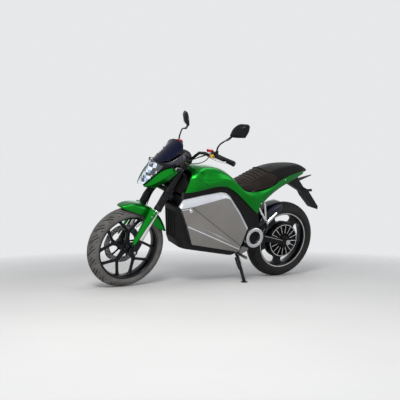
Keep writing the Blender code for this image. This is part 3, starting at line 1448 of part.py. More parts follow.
def handlebar():
    """One bent bar with a grip on each end."""
    left = bar_route(1)
    right = bar_route(-1)
    bar_line = list(reversed(right))[:-1] + left
    tube = wire(bar_line, BAR_RADIUS, 2)
    grips = []
    for route in (left, right):
        run = (route[-1] - route[-2]).normalized()
        grips.append(rod(route[-1] - run * GRIP_LENGTH, route[-1], GRIP_RADIUS, 16))
    keep("handlebar", fuse(tube, *grips), "fork", BLACK)


handlebar()
risers = []
for _, side in SIDES:
    top = Vector((BAR_CLAMP_X, RISER_SPREAD * side, BAR_CLAMP_Z))
    risers.append(rod(top - LEFT * RISER_RADIUS * 0.8, top + LEFT * RISER_RADIUS * 0.8,
                      BAR_RADIUS + RISER_RADIUS * 0.6, 16))
    foot = fork_point(UPPER_YOKE_RISE, FORK_OFFSET * -0.2, RISER_SPREAD * side)
    risers.append(rod(foot, top, RISER_RADIUS, 14))
yoke_body = fuse(yoke_body, *risers)
yoke_body = cut(yoke_body, grown(PIECES["handlebar"]))
keep("fork_yokes", yoke_body, "fork", BLACK)


LEVER_CLAMP_RADIUS = 0.018
LEVER_BODY = (0.034, 0.060, 0.028)
RESERVOIR_RADIUS = 0.020
RESERVOIR_HEIGHT = 0.030
LEVER_AHEAD = 0.058
LEVER_WIDTH = 0.012
LEVER_THICKNESS = 0.007


def lever_set():
    """Clamp, master cylinder with its reservoir, and brake lever on the left bar."""
    route = bar_route(1)
    run = (route[-1] - route[-2]).normalized()
    clamp = route[-1] - run * (GRIP_LENGTH + LEVER_CLAMP_RADIUS * 1.6)
    ring_body = rod(clamp - run * LEVER_CLAMP_RADIUS, clamp + run * LEVER_CLAMP_RADIUS,
                    LEVER_CLAMP_RADIUS, 16)
    ahead = Vector((1, 0, 0))
    master = clamp + ahead * LEVER_BODY[0] * 0.9
    body = block(master, LEVER_BODY)
    cup_foot = master + Vector((0, 0, LEVER_BODY[2] * 0.3))
    cup = rod(cup_foot, cup_foot + UP * RESERVOIR_HEIGHT, RESERVOIR_RADIUS, 16)
    pivot = master + LEFT * LEVER_BODY[1] * 0.4 + ahead * LEVER_BODY[0] * 0.3
    tip = route[-1] + ahead * LEVER_AHEAD - run * LEVER_CLAMP_RADIUS
    middle = (pivot + tip) * 0.5 + ahead * LEVER_WIDTH
    high = UP * LEVER_THICKNESS / 2
    wide = ahead * LEVER_WIDTH / 2
    blade = []
    for start, end in ((pivot, middle), (middle, tip)):
        points = []
        for spot in (start, end):
            points += [spot + high + wide, spot + high - wide, spot - high + wide, spot - high - wide]
        blade.append(hull(points))
    whole = fuse(ring_body, body, cup, *blade)
    whole = cut(whole, grown(PIECES["handlebar"]))
    keep_pair("lever_set", whole, "fork", ALLOY)


MIRROR_WIDTH = 0.140
MIRROR_HEIGHT = 0.102
MIRROR_THICKNESS = 0.020
MIRROR_SETBACK = 0.582
MIRROR_SPREAD = 0.335
MIRROR_RISE = 0.910
MIRROR_CENTRE_X = WHEELBASE - MIRROR_SETBACK
MIRROR_CENTRE_Z = FRONT_TYRE_RADIUS + MIRROR_RISE
MIRROR_SWEEP = math.radians(36.0)
MIRROR_STEM_RADIUS = 0.0055
# mirror outline as shares of its width and height, from the inner low corner round
MIRROR_SHARES = ((-0.50, -0.26), (-0.36, 0.10), (-0.06, 0.50), (0.32, 0.49), (0.50, 0.38),
                 (0.46, -0.02), (0.32, -0.36), (-0.06, -0.46), (-0.40, -0.50))


def mirrors():
    """Mirror heads on stems that rise from the lever clamps."""
    turn = Matrix.Rotation(MIRROR_SWEEP, 3, "Z")
    centre = Vector((MIRROR_CENTRE_X, MIRROR_SPREAD, MIRROR_CENTRE_Z))
    sections = []
    for depth, size in ((-0.5, 0.96), (0.1, 1.0), (0.5, 0.72)):
        section = []
        for across, up in MIRROR_SHARES:
            local = Vector((MIRROR_THICKNESS * depth, MIRROR_WIDTH * across * size,
                            MIRROR_HEIGHT * up * size))
            section.append(centre + turn @ local)
        sections.append(section)
    head = loft(sections)
    route = bar_route(1)
    run = (route[-1] - route[-2]).normalized()
    clamp = route[-1] - run * (GRIP_LENGTH + LEVER_CLAMP_RADIUS * 1.6)
    foot = clamp + UP * LEVER_CLAMP_RADIUS * 0.7
    knee = foot + Vector((0, -LEVER_CLAMP_RADIUS * 0.3, MIRROR_HEIGHT * 0.6))
    stem = wire(smooth_route([foot, knee, (knee + centre) * 0.5 + UP * MIRROR_STEM_RADIUS,
                              centre], 10), MIRROR_STEM_RADIUS, 1)
    whole = fuse(head, stem)
    whole = cut(whole, grown(PIECES["lever_set_left"]), grown(PIECES["handlebar"]))
    keep_pair("mirror", whole, "fork", BLACK)


lever_set()
mirrors()


# Lamp housing, lens, chin panels, instrument pod and screen

LAMP_SETBACK = 0.220
LAMP_DEPTH = 0.175
LAMP_RISE = 0.453
LAMP_HEIGHT = 0.166
LAMP_HALF = 0.100
LAMP_BACK_X = WHEELBASE - LAMP_SETBACK
LAMP_FLOOR = FRONT_TYRE_RADIUS + LAMP_RISE
LENS_THICKNESS = 0.010
# rows of the lens from its tip up: height share, centre depth share, side depth share, half width share
LENS_SHARES = (
    (0.00, 0.97, 0.95, 0.25),
    (0.33, 0.94, 0.80, 0.66),
    (0.60, 0.80, 0.60, 0.84),
    (0.84, 0.61, 0.40, 0.95),
    (1.00, 0.46, 0.32, 1.00),
)
LENS_ACROSS = (-1.0, -0.6, 0.0, 0.6, 1.0)


def lens_rows(shift):
    rows = []
    for up, centre, edge, half in LENS_SHARES:
        row = []
        for across in LENS_ACROSS:
            depth = centre + (edge - centre) * across * across
            row.append((LAMP_BACK_X + LAMP_DEPTH * depth - shift, LAMP_HALF * half * across,
                        LAMP_FLOOR + LAMP_HEIGHT * up))
        rows.append(row)
    return rows


LAMP_BACK_HALF = 0.118
LAMP_BOSS_RADIUS = 0.012
INDICATOR_SPREAD = 0.205
INDICATOR_RADIUS = 0.013
INDICATOR_BEHIND = 0.020
INDICATOR_RISE = 0.147
INDICATOR_X = LAMP_BACK_X - INDICATOR_BEHIND
INDICATOR_Z = LAMP_FLOOR + INDICATOR_RISE
INDICATOR_LENGTH = 0.050


def lamp():
    """Faceted clear lens on a black housing that is bolted to the fork tubes."""
    outer = lens_rows(0.0)
    keep("lamp_lens", backed(outer, lens_rows(LENS_THICKNESS)), "fork", CLEAR_LENS)
    front = lens_rows(LENS_THICKNESS + CLEAR)
    back = []
    for (up, _, _, half) in LENS_SHARES:
        wide = LAMP_BACK_HALF * (0.55 + 0.45 * half)
        back.append([(LAMP_BACK_X, wide * across, LAMP_FLOOR + LAMP_HEIGHT * (0.12 + 0.88 * up))
                     for across in LENS_ACROSS])
    housing = backed(front, back)
    extras = []
    for _, side in SIDES:
        height = LAMP_FLOOR + LAMP_HEIGHT * 0.5
        start = Vector((LAMP_BACK_X + LAMP_BOSS_RADIUS, LAMP_HALF * 0.85 * side, height))
        leg = Vector((LAMP_BACK_X - LAMP_DEPTH * 0.22, FORK_SPREAD * side, height))
        extras.append(rod(start, leg, LAMP_BOSS_RADIUS, 12))
        root = Vector((LAMP_BACK_X + LAMP_BOSS_RADIUS, LAMP_HALF * 0.8 * side, INDICATOR_Z))
        tip = Vector((INDICATOR_X, INDICATOR_SPREAD * side, INDICATOR_Z))
        extras.append(rod(root, tip, INDICATOR_RADIUS * 0.45, 10))
        ahead = Vector((INDICATOR_LENGTH / 2, 0, 0))
        pod = tip - LEFT * INDICATOR_RADIUS * side
        extras.append(rod(pod - ahead, pod + ahead, INDICATOR_RADIUS * 0.6, 12, INDICATOR_RADIUS))
    housing = fuse(housing, *extras)
    housing = cut(housing, grown(PIECES["fork_tube_left"]), grown(PIECES["fork_tube_right"]))
    keep("lamp_housing", housing, "fork", BLACK)


CHIN_SETBACK = 0.054
CHIN_FRONT = WHEELBASE - CHIN_SETBACK
CHIN_LENGTH = 0.216
CHIN_RISE = 0.443
CHIN_FLOOR = FRONT_TYRE_RADIUS + CHIN_RISE
CHIN_HEIGHT = 0.158
CHIN_HALF = 0.138
CHIN_WALL = 0.009
# chin stations from the tip back: along share, then top, ridge and foot as (up share, width share)
CHIN_SHARES = (
    (0.00, (0.06, 0.38), (0.04, 0.40), (0.00, 0.36)),
    (0.20, (0.30, 0.58), (0.18, 0.60), (0.00, 0.46)),
    (0.42, (0.62, 0.76), (0.40, 0.79), (0.07, 0.58)),
    (0.64, (0.90, 0.88), (0.64, 0.91), (0.30, 0.72)),
    (0.80, (1.00, 0.97), (0.80, 0.99), (0.52, 0.86)),
    (1.00, (0.96, 1.00), (0.88, 1.00), (0.76, 0.94)),
)
CHIN_BOSS_RADIUS = 0.008


def chins():
    """Green panels under each side of the lamp, on bosses of the lamp housing."""
    columns = []
    for along, top, ridge, foot in CHIN_SHARES:
        x = CHIN_FRONT - CHIN_LENGTH * along
        columns.append([Vector((x, CHIN_HALF * wide, CHIN_FLOOR + CHIN_HEIGHT * up))
                        for up, wide in (top, ridge, foot)])
    rows = [[column[index] for column in columns] for index in range(3)]
    backs = [[spot - LEFT * CHIN_WALL - Vector((CHIN_WALL * 0.4, 0, 0)) for spot in row]
             for row in rows]
    panel = backed(rows, backs)
    panel = cut(panel, grown(PIECES["lamp_housing"]), grown(PIECES["fork_tube_left"]))
    keep_pair("chin", panel, "fork", GREEN)


lamp()
chins()


POD_SETBACK = 0.425
POD_REAR = WHEELBASE - POD_SETBACK
POD_LENGTH = 0.235
POD_RISE = 0.632
POD_FLOOR = FRONT_TYRE_RADIUS + POD_RISE
POD_HEIGHT = 0.085
POD_HALF = 0.076
# pod stations from the rear: along share, foot up share, top up share, half width share
POD_SHARES = (
    (0.00, 0.42, 0.55, 0.45),
    (0.22, 0.36, 0.86, 0.90),
    (0.50, 0.10, 1.00, 1.00),
    (0.80, -0.05, 0.66, 0.82),
    (1.00, -0.12, 0.20, 0.50),
)


def pod():
    """Instrument pod behind the screen, on the handlebar's risers and the lamp housing."""
    sections = []
    for along, foot, top, half in POD_SHARES:
        x = POD_REAR + POD_LENGTH * along
        low = POD_FLOOR + POD_HEIGHT * foot
        high = POD_FLOOR + POD_HEIGHT * top
        wide = POD_HALF * half
        sections.append([(x, -wide, low), (x, -wide * 0.92, high), (x, wide * 0.92, high),
                         (x, wide, low)])
    bosses = []
    for _, side in SIDES:
        face = screen_point(SCREEN_BOSS_UP_SHARE, SCREEN_BOSS_ACROSS_SHARE * side)
        step = SCREEN_WALL / SCREEN_HEIGHT
        rise = screen_point(SCREEN_BOSS_UP_SHARE + step, SCREEN_BOSS_ACROSS_SHARE * side) - face
        aside = screen_point(SCREEN_BOSS_UP_SHARE, SCREEN_BOSS_ACROSS_SHARE * side + step) - face
        outward = aside.cross(rise).normalized()
        bosses.append(rod(face - outward * SCREEN_WALL / 2, face - outward * SCREEN_BOSS_LENGTH,
                          SCREEN_BOSS_RADIUS, 10))
    body = fuse(loft(sections), *bosses)
    body = cut(body, *[grown(PIECES[name]) for name in
                       ("fork_yokes", "handlebar", "fork_tube_left", "fork_tube_right",
                        "lamp_housing", "windscreen")])
    keep("instrument_pod", body, "fork", BLACK)


SCREEN_RISE = 0.623
SCREEN_FLOOR = FRONT_TYRE_RADIUS + SCREEN_RISE
SCREEN_HEIGHT = 0.158
SCREEN_TO_AXLE = 0.154
SCREEN_FRONT = WHEELBASE - SCREEN_TO_AXLE
SCREEN_RAKE = 0.120
SCREEN_HALF = 0.118
SCREEN_SETBACK = 0.050
SCREEN_WALL = 0.004
SCREEN_BOSS_UP_SHARE = 0.36
SCREEN_BOSS_ACROSS_SHARE = 0.45
SCREEN_BOSS_LENGTH = 0.050
SCREEN_BOSS_RADIUS = 0.007
# screen rows from the foot up: height share, rake share, half width share, setback share
SCREEN_SHARES = (
    (0.00, 0.00, 0.50, 0.10),
    (0.33, 0.30, 0.80, 0.60),
    (0.67, 0.66, 1.00, 0.95),
    (0.90, 0.92, 0.90, 0.70),
    (1.00, 1.00, 0.62, 0.30),
)
SCREEN_ACROSS = (-1.0, -0.55, 0.0, 0.55, 1.0)


def screen_point(up, across):
    """Point of the screen's outer side at a share of its height and of its half width."""
    heights = [row[0] for row in SCREEN_SHARES]
    back, half, setback = [float(np.interp(up, heights, [row[index] for row in SCREEN_SHARES]))
                           for index in (1, 2, 3)]
    x = SCREEN_FRONT - SCREEN_RAKE * back - SCREEN_SETBACK * setback * across * across
    return Vector((x, SCREEN_HALF * half * across, SCREEN_FLOOR + SCREEN_HEIGHT * up))


def screen():
    """Tinted fly screen."""
    rows = [[screen_point(row[0], across) for across in SCREEN_ACROSS] for row in SCREEN_SHARES]
    keep("windscreen", shell(rows, SCREEN_WALL), "fork", TINTED)


screen()
pod()


# Front mudguard with its guards

GUARD_GAP = 0.030
GUARD_HALF = 0.070
GUARD_SKIRT = 0.085
GUARD_WALL = 0.004
GUARD_SHARES = (
    (68, 1.30, 0.26, 0.04),
    (79, 1.42, 0.70, 0.38),
    (92, 1.42, 0.94, 0.66),
    (105, 1.34, 1.00, 1.00),
    (120, 1.05, 1.00, 0.80),
    (136, 0.75, 0.94, 0.40),
    (153, 0.45, 0.84, 0.20),
)
BLADE_LOW = 0.050
BLADE_HIGH = 0.290
BLADE_WALL = 0.005
BLADE_STEPS = 5


def front_mudguard():
    """Green guard over the tyre, with a blade down the front of each stanchion."""
    guard = shell(arched(FRONT_AXLE, FRONT_TYRE_RADIUS, GUARD_GAP, GUARD_HALF, GUARD_SKIRT,
                         GUARD_SHARES), GUARD_WALL)
    extras = []
    for _, side in SIDES:
        sections = []
        for rise, radius in ((BLADE_LOW + LUG_RISE * 0.4, 1.0), (BLADE_HIGH, 1.0)):
            inner = STANCHION_RADIUS + CLEAR
            outer = inner + BLADE_WALL
            points = []
            for radius, order in ((outer, 1), (inner, -1)):
                angles = np.linspace(-84, 84, BLADE_STEPS)[::order]
                for angle in angles:
                    turn = math.radians(float(angle))
                    points.append(leg_point(rise, side) + FORK_AHEAD * radius * math.cos(turn)
                                  + LEFT * radius * math.sin(turn))
            sections.append(points)
        extras.append(loft(sections))
        neck_top = leg_point(BLADE_HIGH - LUG_RISE * 0.6, side) + FORK_AHEAD * STANCHION_RADIUS
        stay = GUARD_HALF - GUARD_WALL / 2
        inner_end = Vector((neck_top.x, stay * side, neck_top.z))
        size = (STANCHION_RADIUS, FORK_SPREAD - stay, LUG_RISE)
        middle = (inner_end + Vector((neck_top.x, FORK_SPREAD * side, neck_top.z))) * 0.5
        extras.append(block(middle, size))
    whole = fuse(guard, *extras)
    whole = cut(whole, grown(PIECES["stanchion_left"]), grown(PIECES["stanchion_right"]))
    keep("front_mudguard", whole, "fork", GREEN)


front_mudguard()
front_disc_middle = -(FRONT_HUB_RIGHT + CLEAR + FRONT_DISC_THICKNESS / 2)
caliper("front_caliper", "fork", FRONT_AXLE, FRONT_DISC_RADIUS, front_disc_middle,
        math.radians(135), leg_point(0.120, -1), "stanchion_right")


# Brake hose: held along the fork, from the lower yoke to the caliper
HOSE_RADIUS = 0.0032
HOSE_POINTS = 24


def hose():
    """Brake hose between the fork legs, from the lower yoke to the front caliper."""
    route = [fork_point(LOWER_YOKE_RISE, FORK_OFFSET * 1.2, -FORK_SPREAD * 0.30),
             fork_point(FORK_TUBE_BOTTOM + LUG_RISE, FORK_OFFSET * 0.9, -FORK_SPREAD * 0.62),
             fork_point(FORK_TUBE_BOTTOM * 0.8, -FORK_OFFSET * 0.2, -FORK_SPREAD * 0.86),
             fork_point(FORK_TUBE_BOTTOM * 0.6, -FORK_OFFSET * 0.9, -FORK_SPREAD * 0.86),
             around(FRONT_AXLE, FRONT_DISC_RADIUS, math.radians(132), -FORK_SPREAD * 0.75)]
    tube = wire(smooth_route(route, HOSE_POINTS), HOSE_RADIUS, 1)
    tube = cut(tube, grown(PIECES["fork_yokes"]), grown(PIECES["front_caliper"]),
               grown(PIECES["front_mudguard"]), grown(PIECES["stanchion_right"]))
    keep("front_brake_hose", tube, "fork", RUBBER)


hose()


# Side stand: pivots under the left plate, folds straight back

def side_stand():
    """Leg with its foot flat on the parked floor."""
    up = FLOOR_UP.normalized()
    foot_top = STAND_FOOT + up * STAND_FOOT_THICKNESS
    foot = rod(STAND_FOOT, foot_top, STAND_FOOT_RADIUS, 16)
    inward = STAND_AXIS * (STAND_LEG_RADIUS - STAND_LUG_HALF / 2)
    leg = rod(STAND_PIVOT - inward, foot_top, STAND_LEG_RADIUS, 12)
    eye = rod(STAND_PIVOT - STAND_AXIS * STAND_LUG_HALF * 2,
              STAND_PIVOT + STAND_AXIS * STAND_LUG_HALF, STAND_LUG_RADIUS, 16)
    rest = axes_at(STAND_PIVOT, STAND_AXIS)
    holder = empty("side_stand_axis", rest, BIKE, Matrix.Identity(4))
    HOLDERS["stand"] = (holder, rest)
    whole = fuse(leg, foot, eye)
    keep("side_stand", whole, "stand", BLACK)


side_stand()


def park():
    """Lean the machine onto its stand and put the middle of its box's floor at the origin."""
    BIKE.matrix_basis = STAND_TURN.to_4x4()
    bpy.context.view_layer.update()
    corners = np.array([tuple(thing.matrix_world @ vertex.co)
                        for thing in PIECES.values() for vertex in thing.data.vertices])
    low = corners.min(axis=0)
    high = corners.max(axis=0)
    shift = Vector((-(low[0] + high[0]) / 2, -(low[1] + high[1]) / 2, -low[2]))
    BIKE.matrix_basis = Matrix.Translation(shift) @ STAND_TURN.to_4x4()
    bpy.context.view_layer.update()


park()
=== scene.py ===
"""Looks of the electric motorcycle: materials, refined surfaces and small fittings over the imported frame."""
import json
import math
import bmesh
import bpy
import numpy as np
from mathutils import Matrix, Vector
from mathutils.bvhtree import BVHTree

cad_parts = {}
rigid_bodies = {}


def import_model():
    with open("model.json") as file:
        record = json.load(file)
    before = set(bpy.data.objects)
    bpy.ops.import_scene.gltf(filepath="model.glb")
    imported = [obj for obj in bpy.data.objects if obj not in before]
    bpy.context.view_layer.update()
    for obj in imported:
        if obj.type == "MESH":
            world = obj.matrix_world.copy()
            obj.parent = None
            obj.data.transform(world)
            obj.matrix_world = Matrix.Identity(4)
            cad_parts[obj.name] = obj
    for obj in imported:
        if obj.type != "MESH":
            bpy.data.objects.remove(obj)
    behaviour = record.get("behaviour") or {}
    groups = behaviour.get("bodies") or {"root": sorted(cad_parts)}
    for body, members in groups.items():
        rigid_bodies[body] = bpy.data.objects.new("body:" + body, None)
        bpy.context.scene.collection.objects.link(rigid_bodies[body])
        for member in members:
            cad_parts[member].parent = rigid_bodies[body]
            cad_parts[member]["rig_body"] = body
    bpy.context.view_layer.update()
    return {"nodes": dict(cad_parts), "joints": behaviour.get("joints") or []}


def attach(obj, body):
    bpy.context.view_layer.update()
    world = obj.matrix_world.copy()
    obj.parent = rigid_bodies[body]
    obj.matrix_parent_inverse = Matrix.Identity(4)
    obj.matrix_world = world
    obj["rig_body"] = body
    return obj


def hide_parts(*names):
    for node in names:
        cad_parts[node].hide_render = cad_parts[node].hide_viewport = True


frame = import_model()
NODES = frame["nodes"]

# the bike's own upright axes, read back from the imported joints
RAKE = math.radians(27.0)
STEER_AT_REST = math.radians(7.2)
LEFT = Vector((0, 1, 0))
UP = Vector((0, 0, 1))
REAR_AXLE = Vector((0, 0, 0.314))
FRONT_AXLE = Vector((1.35, 0, 0.293))
FORK_AXIS = Vector((-math.sin(RAKE), 0, math.cos(RAKE)))
FORK_AHEAD = Vector((math.cos(RAKE), 0, math.sin(RAKE)))
FORK_OFFSET = 0.038
FORK_SPREAD = 0.105
STEER_POINT = FRONT_AXLE - FORK_AHEAD * FORK_OFFSET
JOINT = {j["name"]: (Vector(j["pos_m"]), Vector(j["axis"]).normalized()) for j in frame["joints"]}


def basis(first, second):
    """Square matrix with three unit columns from two directions."""
    first = first.normalized()
    second = (second - first * second.dot(first)).normalized()
    return Matrix((first, second, first.cross(second))).transposed()


def bike_matrix():
    """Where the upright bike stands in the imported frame, from its joints."""
    rear, left = JOINT["rear_wheel_spin"]
    steer, _ = JOINT["steering"]
    turn = basis(left, steer - rear) @ basis(LEFT, STEER_POINT - REAR_AXLE).transposed()
    return Matrix.Translation(rear - turn @ REAR_AXLE) @ turn.to_4x4()


BIKE = bike_matrix()
FORK = (BIKE @ Matrix.Translation(STEER_POINT) @ Matrix.Rotation(STEER_AT_REST, 4, FORK_AXIS)
        @ Matrix.Translation(-STEER_POINT))
SIDES = ((1, "left"), (-1, "right"))
PLACES = {"bike": BIKE, "fork": FORK, "front_wheel": FORK, "rear_wheel": BIKE, "stand_leg": BIKE}


# materials
class Nodes:
    """A material under construction and the wires between its nodes."""

    def __init__(self, name):
        self.material = bpy.data.materials.new(name)
        self.material.use_nodes = True
        self.tree = self.material.node_tree
        self.shader = self.tree.nodes["Principled BSDF"]

    def set(self, **values):
        names = {"colour": "Base Color", "rough": "Roughness", "metal": "Metallic", "coat": "Coat Weight",
                 "coat_rough": "Coat Roughness", "spec": "Specular IOR Level", "alpha": "Alpha"}
        for key, value in values.items():
            if key == "colour" and len(value) == 3:
                value = (*value, 1.0)
            self.shader.inputs[names[key]].default_value = value
        return self

    def add(self, kind, **settings):
        node = self.tree.nodes.new(kind)
        for key, value in settings.items():
            if key in node.inputs:
                node.inputs[key].default_value = value
            else:
                setattr(node, key, value)
        return node

    def link(self, a, out, b, into):
        self.tree.links.new(a.outputs[out], b.inputs[into])

    def coords(self, scale=(1, 1, 1)):
        source = self.add("ShaderNodeTexCoord")
        mapping = self.add("ShaderNodeMapping")
        mapping.inputs["Scale"].default_value = scale
        self.link(source, "Object", mapping, "Vector")
        return mapping

    def noise(self, scale, detail=3.0, stretch=(1, 1, 1), rough=0.5):
        node = self.add("ShaderNodeTexNoise", Scale=scale, Detail=detail, Roughness=rough)
        self.link(self.coords(stretch), "Vector", node, "Vector")
        return node

    def ramp(self, source, out, low, high, start=0.3, end=0.7):
        node = self.add("ShaderNodeValToRGB")
        for element, position, colour in zip(node.color_ramp.elements, (start, end), (low, high)):
            element.position = position
            element.color = (*colour, 1)
        self.link(source, out, node, "Fac")
        return node

    def tint(self, source, out, low, high, start=0.3, end=0.7):
        node = self.ramp(source, out, low, high, start, end)
        self.link(node, "Color", self.shader, "Base Color")
        return node

    def roughen(self, source, out, low, high):
        node = self.add("ShaderNodeMapRange")
        node.inputs["To Min"].default_value = low
        node.inputs["To Max"].default_value = high
        self.link(source, out, node, "Value")
        self.link(node, "Result", self.shader, "Roughness")

    def bump(self, source, out, strength, distance):
        node = self.add("ShaderNodeBump", Strength=strength, Distance=distance)
        self.link(source, out, node, "Height")
        previous = self.shader.inputs["Normal"]
        if previous.is_linked:
            self.tree.links.new(previous.links[0].from_socket, node.inputs["Normal"])
        self.link(node, "Normal", self.shader, "Normal")


def candy_green():
    m = Nodes("candy_green").set(metal=0.72, coat=0.08, coat_rough=0.05, spec=0.2)
    drift = m.noise(3.0, 2.0)
    face = m.ramp(drift, "Fac", (0.001, 0.19, 0.008), (0.002, 0.27, 0.012))
    turned = m.ramp(drift, "Fac", (0.0, 0.034, 0.022), (0.0, 0.06, 0.038))
    facing = m.add("ShaderNodeLayerWeight", Blend=0.36)
    mix = m.add("ShaderNodeMix", data_type="RGBA")
    m.link(facing, "Facing", mix, 0)
    m.link(face, "Color", mix, 6)
    m.link(turned, "Color", mix, 7)
    m.link(mix, 2, m.shader, "Base Color")
    flakes = m.add("ShaderNodeTexVoronoi", Scale=2600.0)
    m.link(m.coords(), "Vector", flakes, "Vector")
    m.roughen(flakes, "Distance", 0.2, 0.3)
    m.bump(flakes, "Distance", 0.05, 0.0002)
    return m.material


def satin_silver():
    m = Nodes("satin_silver").set(metal=0.85)
    drift = m.noise(5.0)
    m.tint(drift, "Fac", (0.235, 0.225, 0.215), (0.275, 0.262, 0.25))
    grain = m.noise(900.0, 2.0)
    m.roughen(grain, "Fac", 0.34, 0.46)
    m.bump(grain, "Fac", 0.06, 0.0003)
    return m.material


def painted(name, low, high, rough=(0.2, 0.3), metal=0.0, coat=0.0, grain=500.0, strength=0.05, spec=0.3):
    m = Nodes(name).set(metal=metal, coat=coat, coat_rough=0.05, spec=spec)
    m.tint(m.noise(8.0), "Fac", low, high)
    fine = m.noise(grain)
    m.roughen(fine, "Fac", *rough)
    m.bump(fine, "Fac", strength, 0.0004)
    return m.material


def brushed(name, low, high, rough=(0.2, 0.38)):
    m = Nodes(name).set(metal=1.0)
    lines = m.noise(2.0, stretch=(20, 400, 400))
    m.tint(lines, "Fac", low, high)
    m.roughen(lines, "Fac", *rough)
    m.bump(lines, "Fac", 0.08, 0.0002)
    return m.material


def tyre_rubber(name, low, high):
    m = Nodes(name).set(spec=0.2)
    dust = m.noise(14.0, 5.0, rough=0.65)
    tone = m.tint(dust, "Fac", low, high, 0.3, 0.75)
    # The groove mask paints the tread grooves near black: painted shade in the recesses.
    cut = m.add("ShaderNodeAttribute", attribute_name="groove")
    mix = m.add("ShaderNodeMix", data_type="RGBA")
    m.link(cut, "Fac", mix, 0)
    m.link(tone, "Color", mix, 6)
    mix.inputs[7].default_value = (0.004, 0.004, 0.004, 1)
    m.link(mix, 2, m.shader, "Base Color")
    m.roughen(dust, "Fac", 0.62, 0.82)
    fine = m.noise(650.0)
    m.bump(fine, "Fac", 0.25, 0.0006)
    return m.material


def vinyl(name, low, high):
    m = Nodes(name).set(spec=0.12)
    m.tint(m.noise(9.0), "Fac", low, high)
    grain = m.add("ShaderNodeTexVoronoi", Scale=420.0)
    m.link(m.coords(), "Vector", grain, "Vector")
    m.roughen(grain, "Distance", 0.42, 0.6)
    m.bump(grain, "Distance", 0.35, 0.0006)
    return m.material


def clear_glass(name, tint, rough=0.02, alpha=0.3, bumped=0.0, coat=1.0, spec=0.4):
    m = Nodes(name).set(colour=tint, alpha=alpha, spec=spec, coat=coat, coat_rough=0.02)
    wave = m.noise(12.0, 2.0)
    m.roughen(wave, "Fac", rough, rough + 0.03)
    if bumped:
        m.bump(wave, "Fac", bumped, 0.0005)
    return m.material


GREEN = candy_green()
SILVER = satin_silver()
BLACK_GLOSS = painted("black_gloss", (0.002, 0.0025, 0.004), (0.004, 0.0045, 0.007), (0.16, 0.24), coat=0.08,
                      spec=0.18)
BLACK_BLUE = painted("black_blue_gloss", (0.003, 0.004, 0.008), (0.006, 0.008, 0.015), (0.12, 0.2), coat=0.3)
SPAR_BLACK = painted("spar_black", (0.004, 0.004, 0.0045), (0.007, 0.007, 0.008), (0.24, 0.34),
                     strength=0.05, spec=0.14)
BLACK_SATIN = painted("black_satin", (0.003, 0.003, 0.004), (0.006, 0.006, 0.007), (0.34, 0.46),
                      strength=0.08, spec=0.14)
BLACK_PLASTIC = painted("black_plastic", (0.005, 0.005, 0.006), (0.01, 0.01, 0.011), (0.5, 0.66),
                        grain=320.0, strength=0.35, spec=0.2)
GREY_PLASTIC = painted("grey_plastic", (0.09, 0.09, 0.095), (0.13, 0.13, 0.135), (0.4, 0.52), strength=0.15)
ALLOY = brushed("machined_alloy", (0.55, 0.55, 0.56), (0.68, 0.68, 0.69))
DARK_ALLOY = brushed("dark_alloy", (0.16, 0.16, 0.165), (0.24, 0.24, 0.245), (0.28, 0.42))
CHROME = painted("chrome", (0.7, 0.7, 0.71), (0.78, 0.78, 0.79), (0.08, 0.14), metal=1.0, strength=0.01)
DISC = brushed("disc_steel", (0.13, 0.13, 0.135), (0.2, 0.2, 0.205), (0.3, 0.44))
MILKY = painted("reservoir_white", (0.55, 0.56, 0.56), (0.64, 0.65, 0.65), (0.25, 0.35), strength=0.02)
CABLE = painted("cable_black", (0.006, 0.006, 0.007), (0.011, 0.011, 0.012), (0.35, 0.5))
STEEL = brushed("brushed_steel", (0.42, 0.42, 0.42), (0.55, 0.55, 0.55), (0.24, 0.4))
RED = painted("red_anodised", (0.42, 0.008, 0.012), (0.55, 0.014, 0.02), (0.2, 0.3), metal=0.6)
GOLD = painted("gold_anodised", (0.6, 0.33, 0.05), (0.7, 0.4, 0.08), (0.22, 0.32), metal=0.9)
RUBBER = tyre_rubber("black_rubber", (0.012, 0.012, 0.012), (0.022, 0.022, 0.022))
TYRE_FRONT = tyre_rubber("front_tyre_rubber", (0.075, 0.073, 0.07), (0.185, 0.18, 0.172))
TYRE_REAR = tyre_rubber("rear_tyre_rubber", (0.009, 0.009, 0.009), (0.026, 0.025, 0.024))
SEAT_BROWN = vinyl("seat_brown_vinyl", (0.012, 0.008, 0.0065), (0.024, 0.017, 0.014))
SEAT_BLACK = vinyl("seat_black_vinyl", (0.002, 0.002, 0.0022), (0.004, 0.004, 0.0045))
LENS = clear_glass("clear_lens", (0.8, 0.87, 0.95), alpha=0.05, coat=0.25)
SCREEN = clear_glass("tinted_screen", (0.002, 0.004, 0.02), alpha=0.97, rough=0.12, coat=0.0, spec=0.12)
RED_LENS = clear_glass("red_lens", (0.42, 0.006, 0.008), alpha=0.92, bumped=0.1)
SMOKE_LENS = clear_glass("smoke_lens", (0.3, 0.31, 0.33), alpha=0.85, bumped=0.1)
# Lighter, bluish silver: painted highlight and sky reflection on the side covers' band, creases and ledge.
SILVER_HIGHLIGHT = painted("silver_painted_highlight", (0.56, 0.58, 0.62), (0.66, 0.68, 0.74), (0.26, 0.36), metal=0.3,
                        strength=0.04)
# Painted blue reflection on the lamp's facets.
LAMP_REFLECTION_BLUE = painted("lamp_painted_blue_reflection", (0.24, 0.36, 0.58), (0.4, 0.52, 0.74), (0.08, 0.16), metal=0.0,
                    strength=0.02)
STRIPE = painted("stripe_silver", (0.5, 0.5, 0.5), (0.62, 0.62, 0.62), (0.34, 0.46), metal=0.4,
                 strength=0.03)
FIN_ALLOY = brushed("fin_alloy", (0.62, 0.62, 0.63), (0.78, 0.78, 0.79), (0.16, 0.3))
MIRROR = painted("mirror_glass", (0.55, 0.57, 0.59), (0.6, 0.62, 0.64), (0.01, 0.03), metal=1.0,
                 strength=0.0)
LAMP_DARK = painted("lamp_shadow", (0.02, 0.03, 0.05), (0.035, 0.05, 0.08), (0.1, 0.2), metal=0.2,
                    strength=0.02)
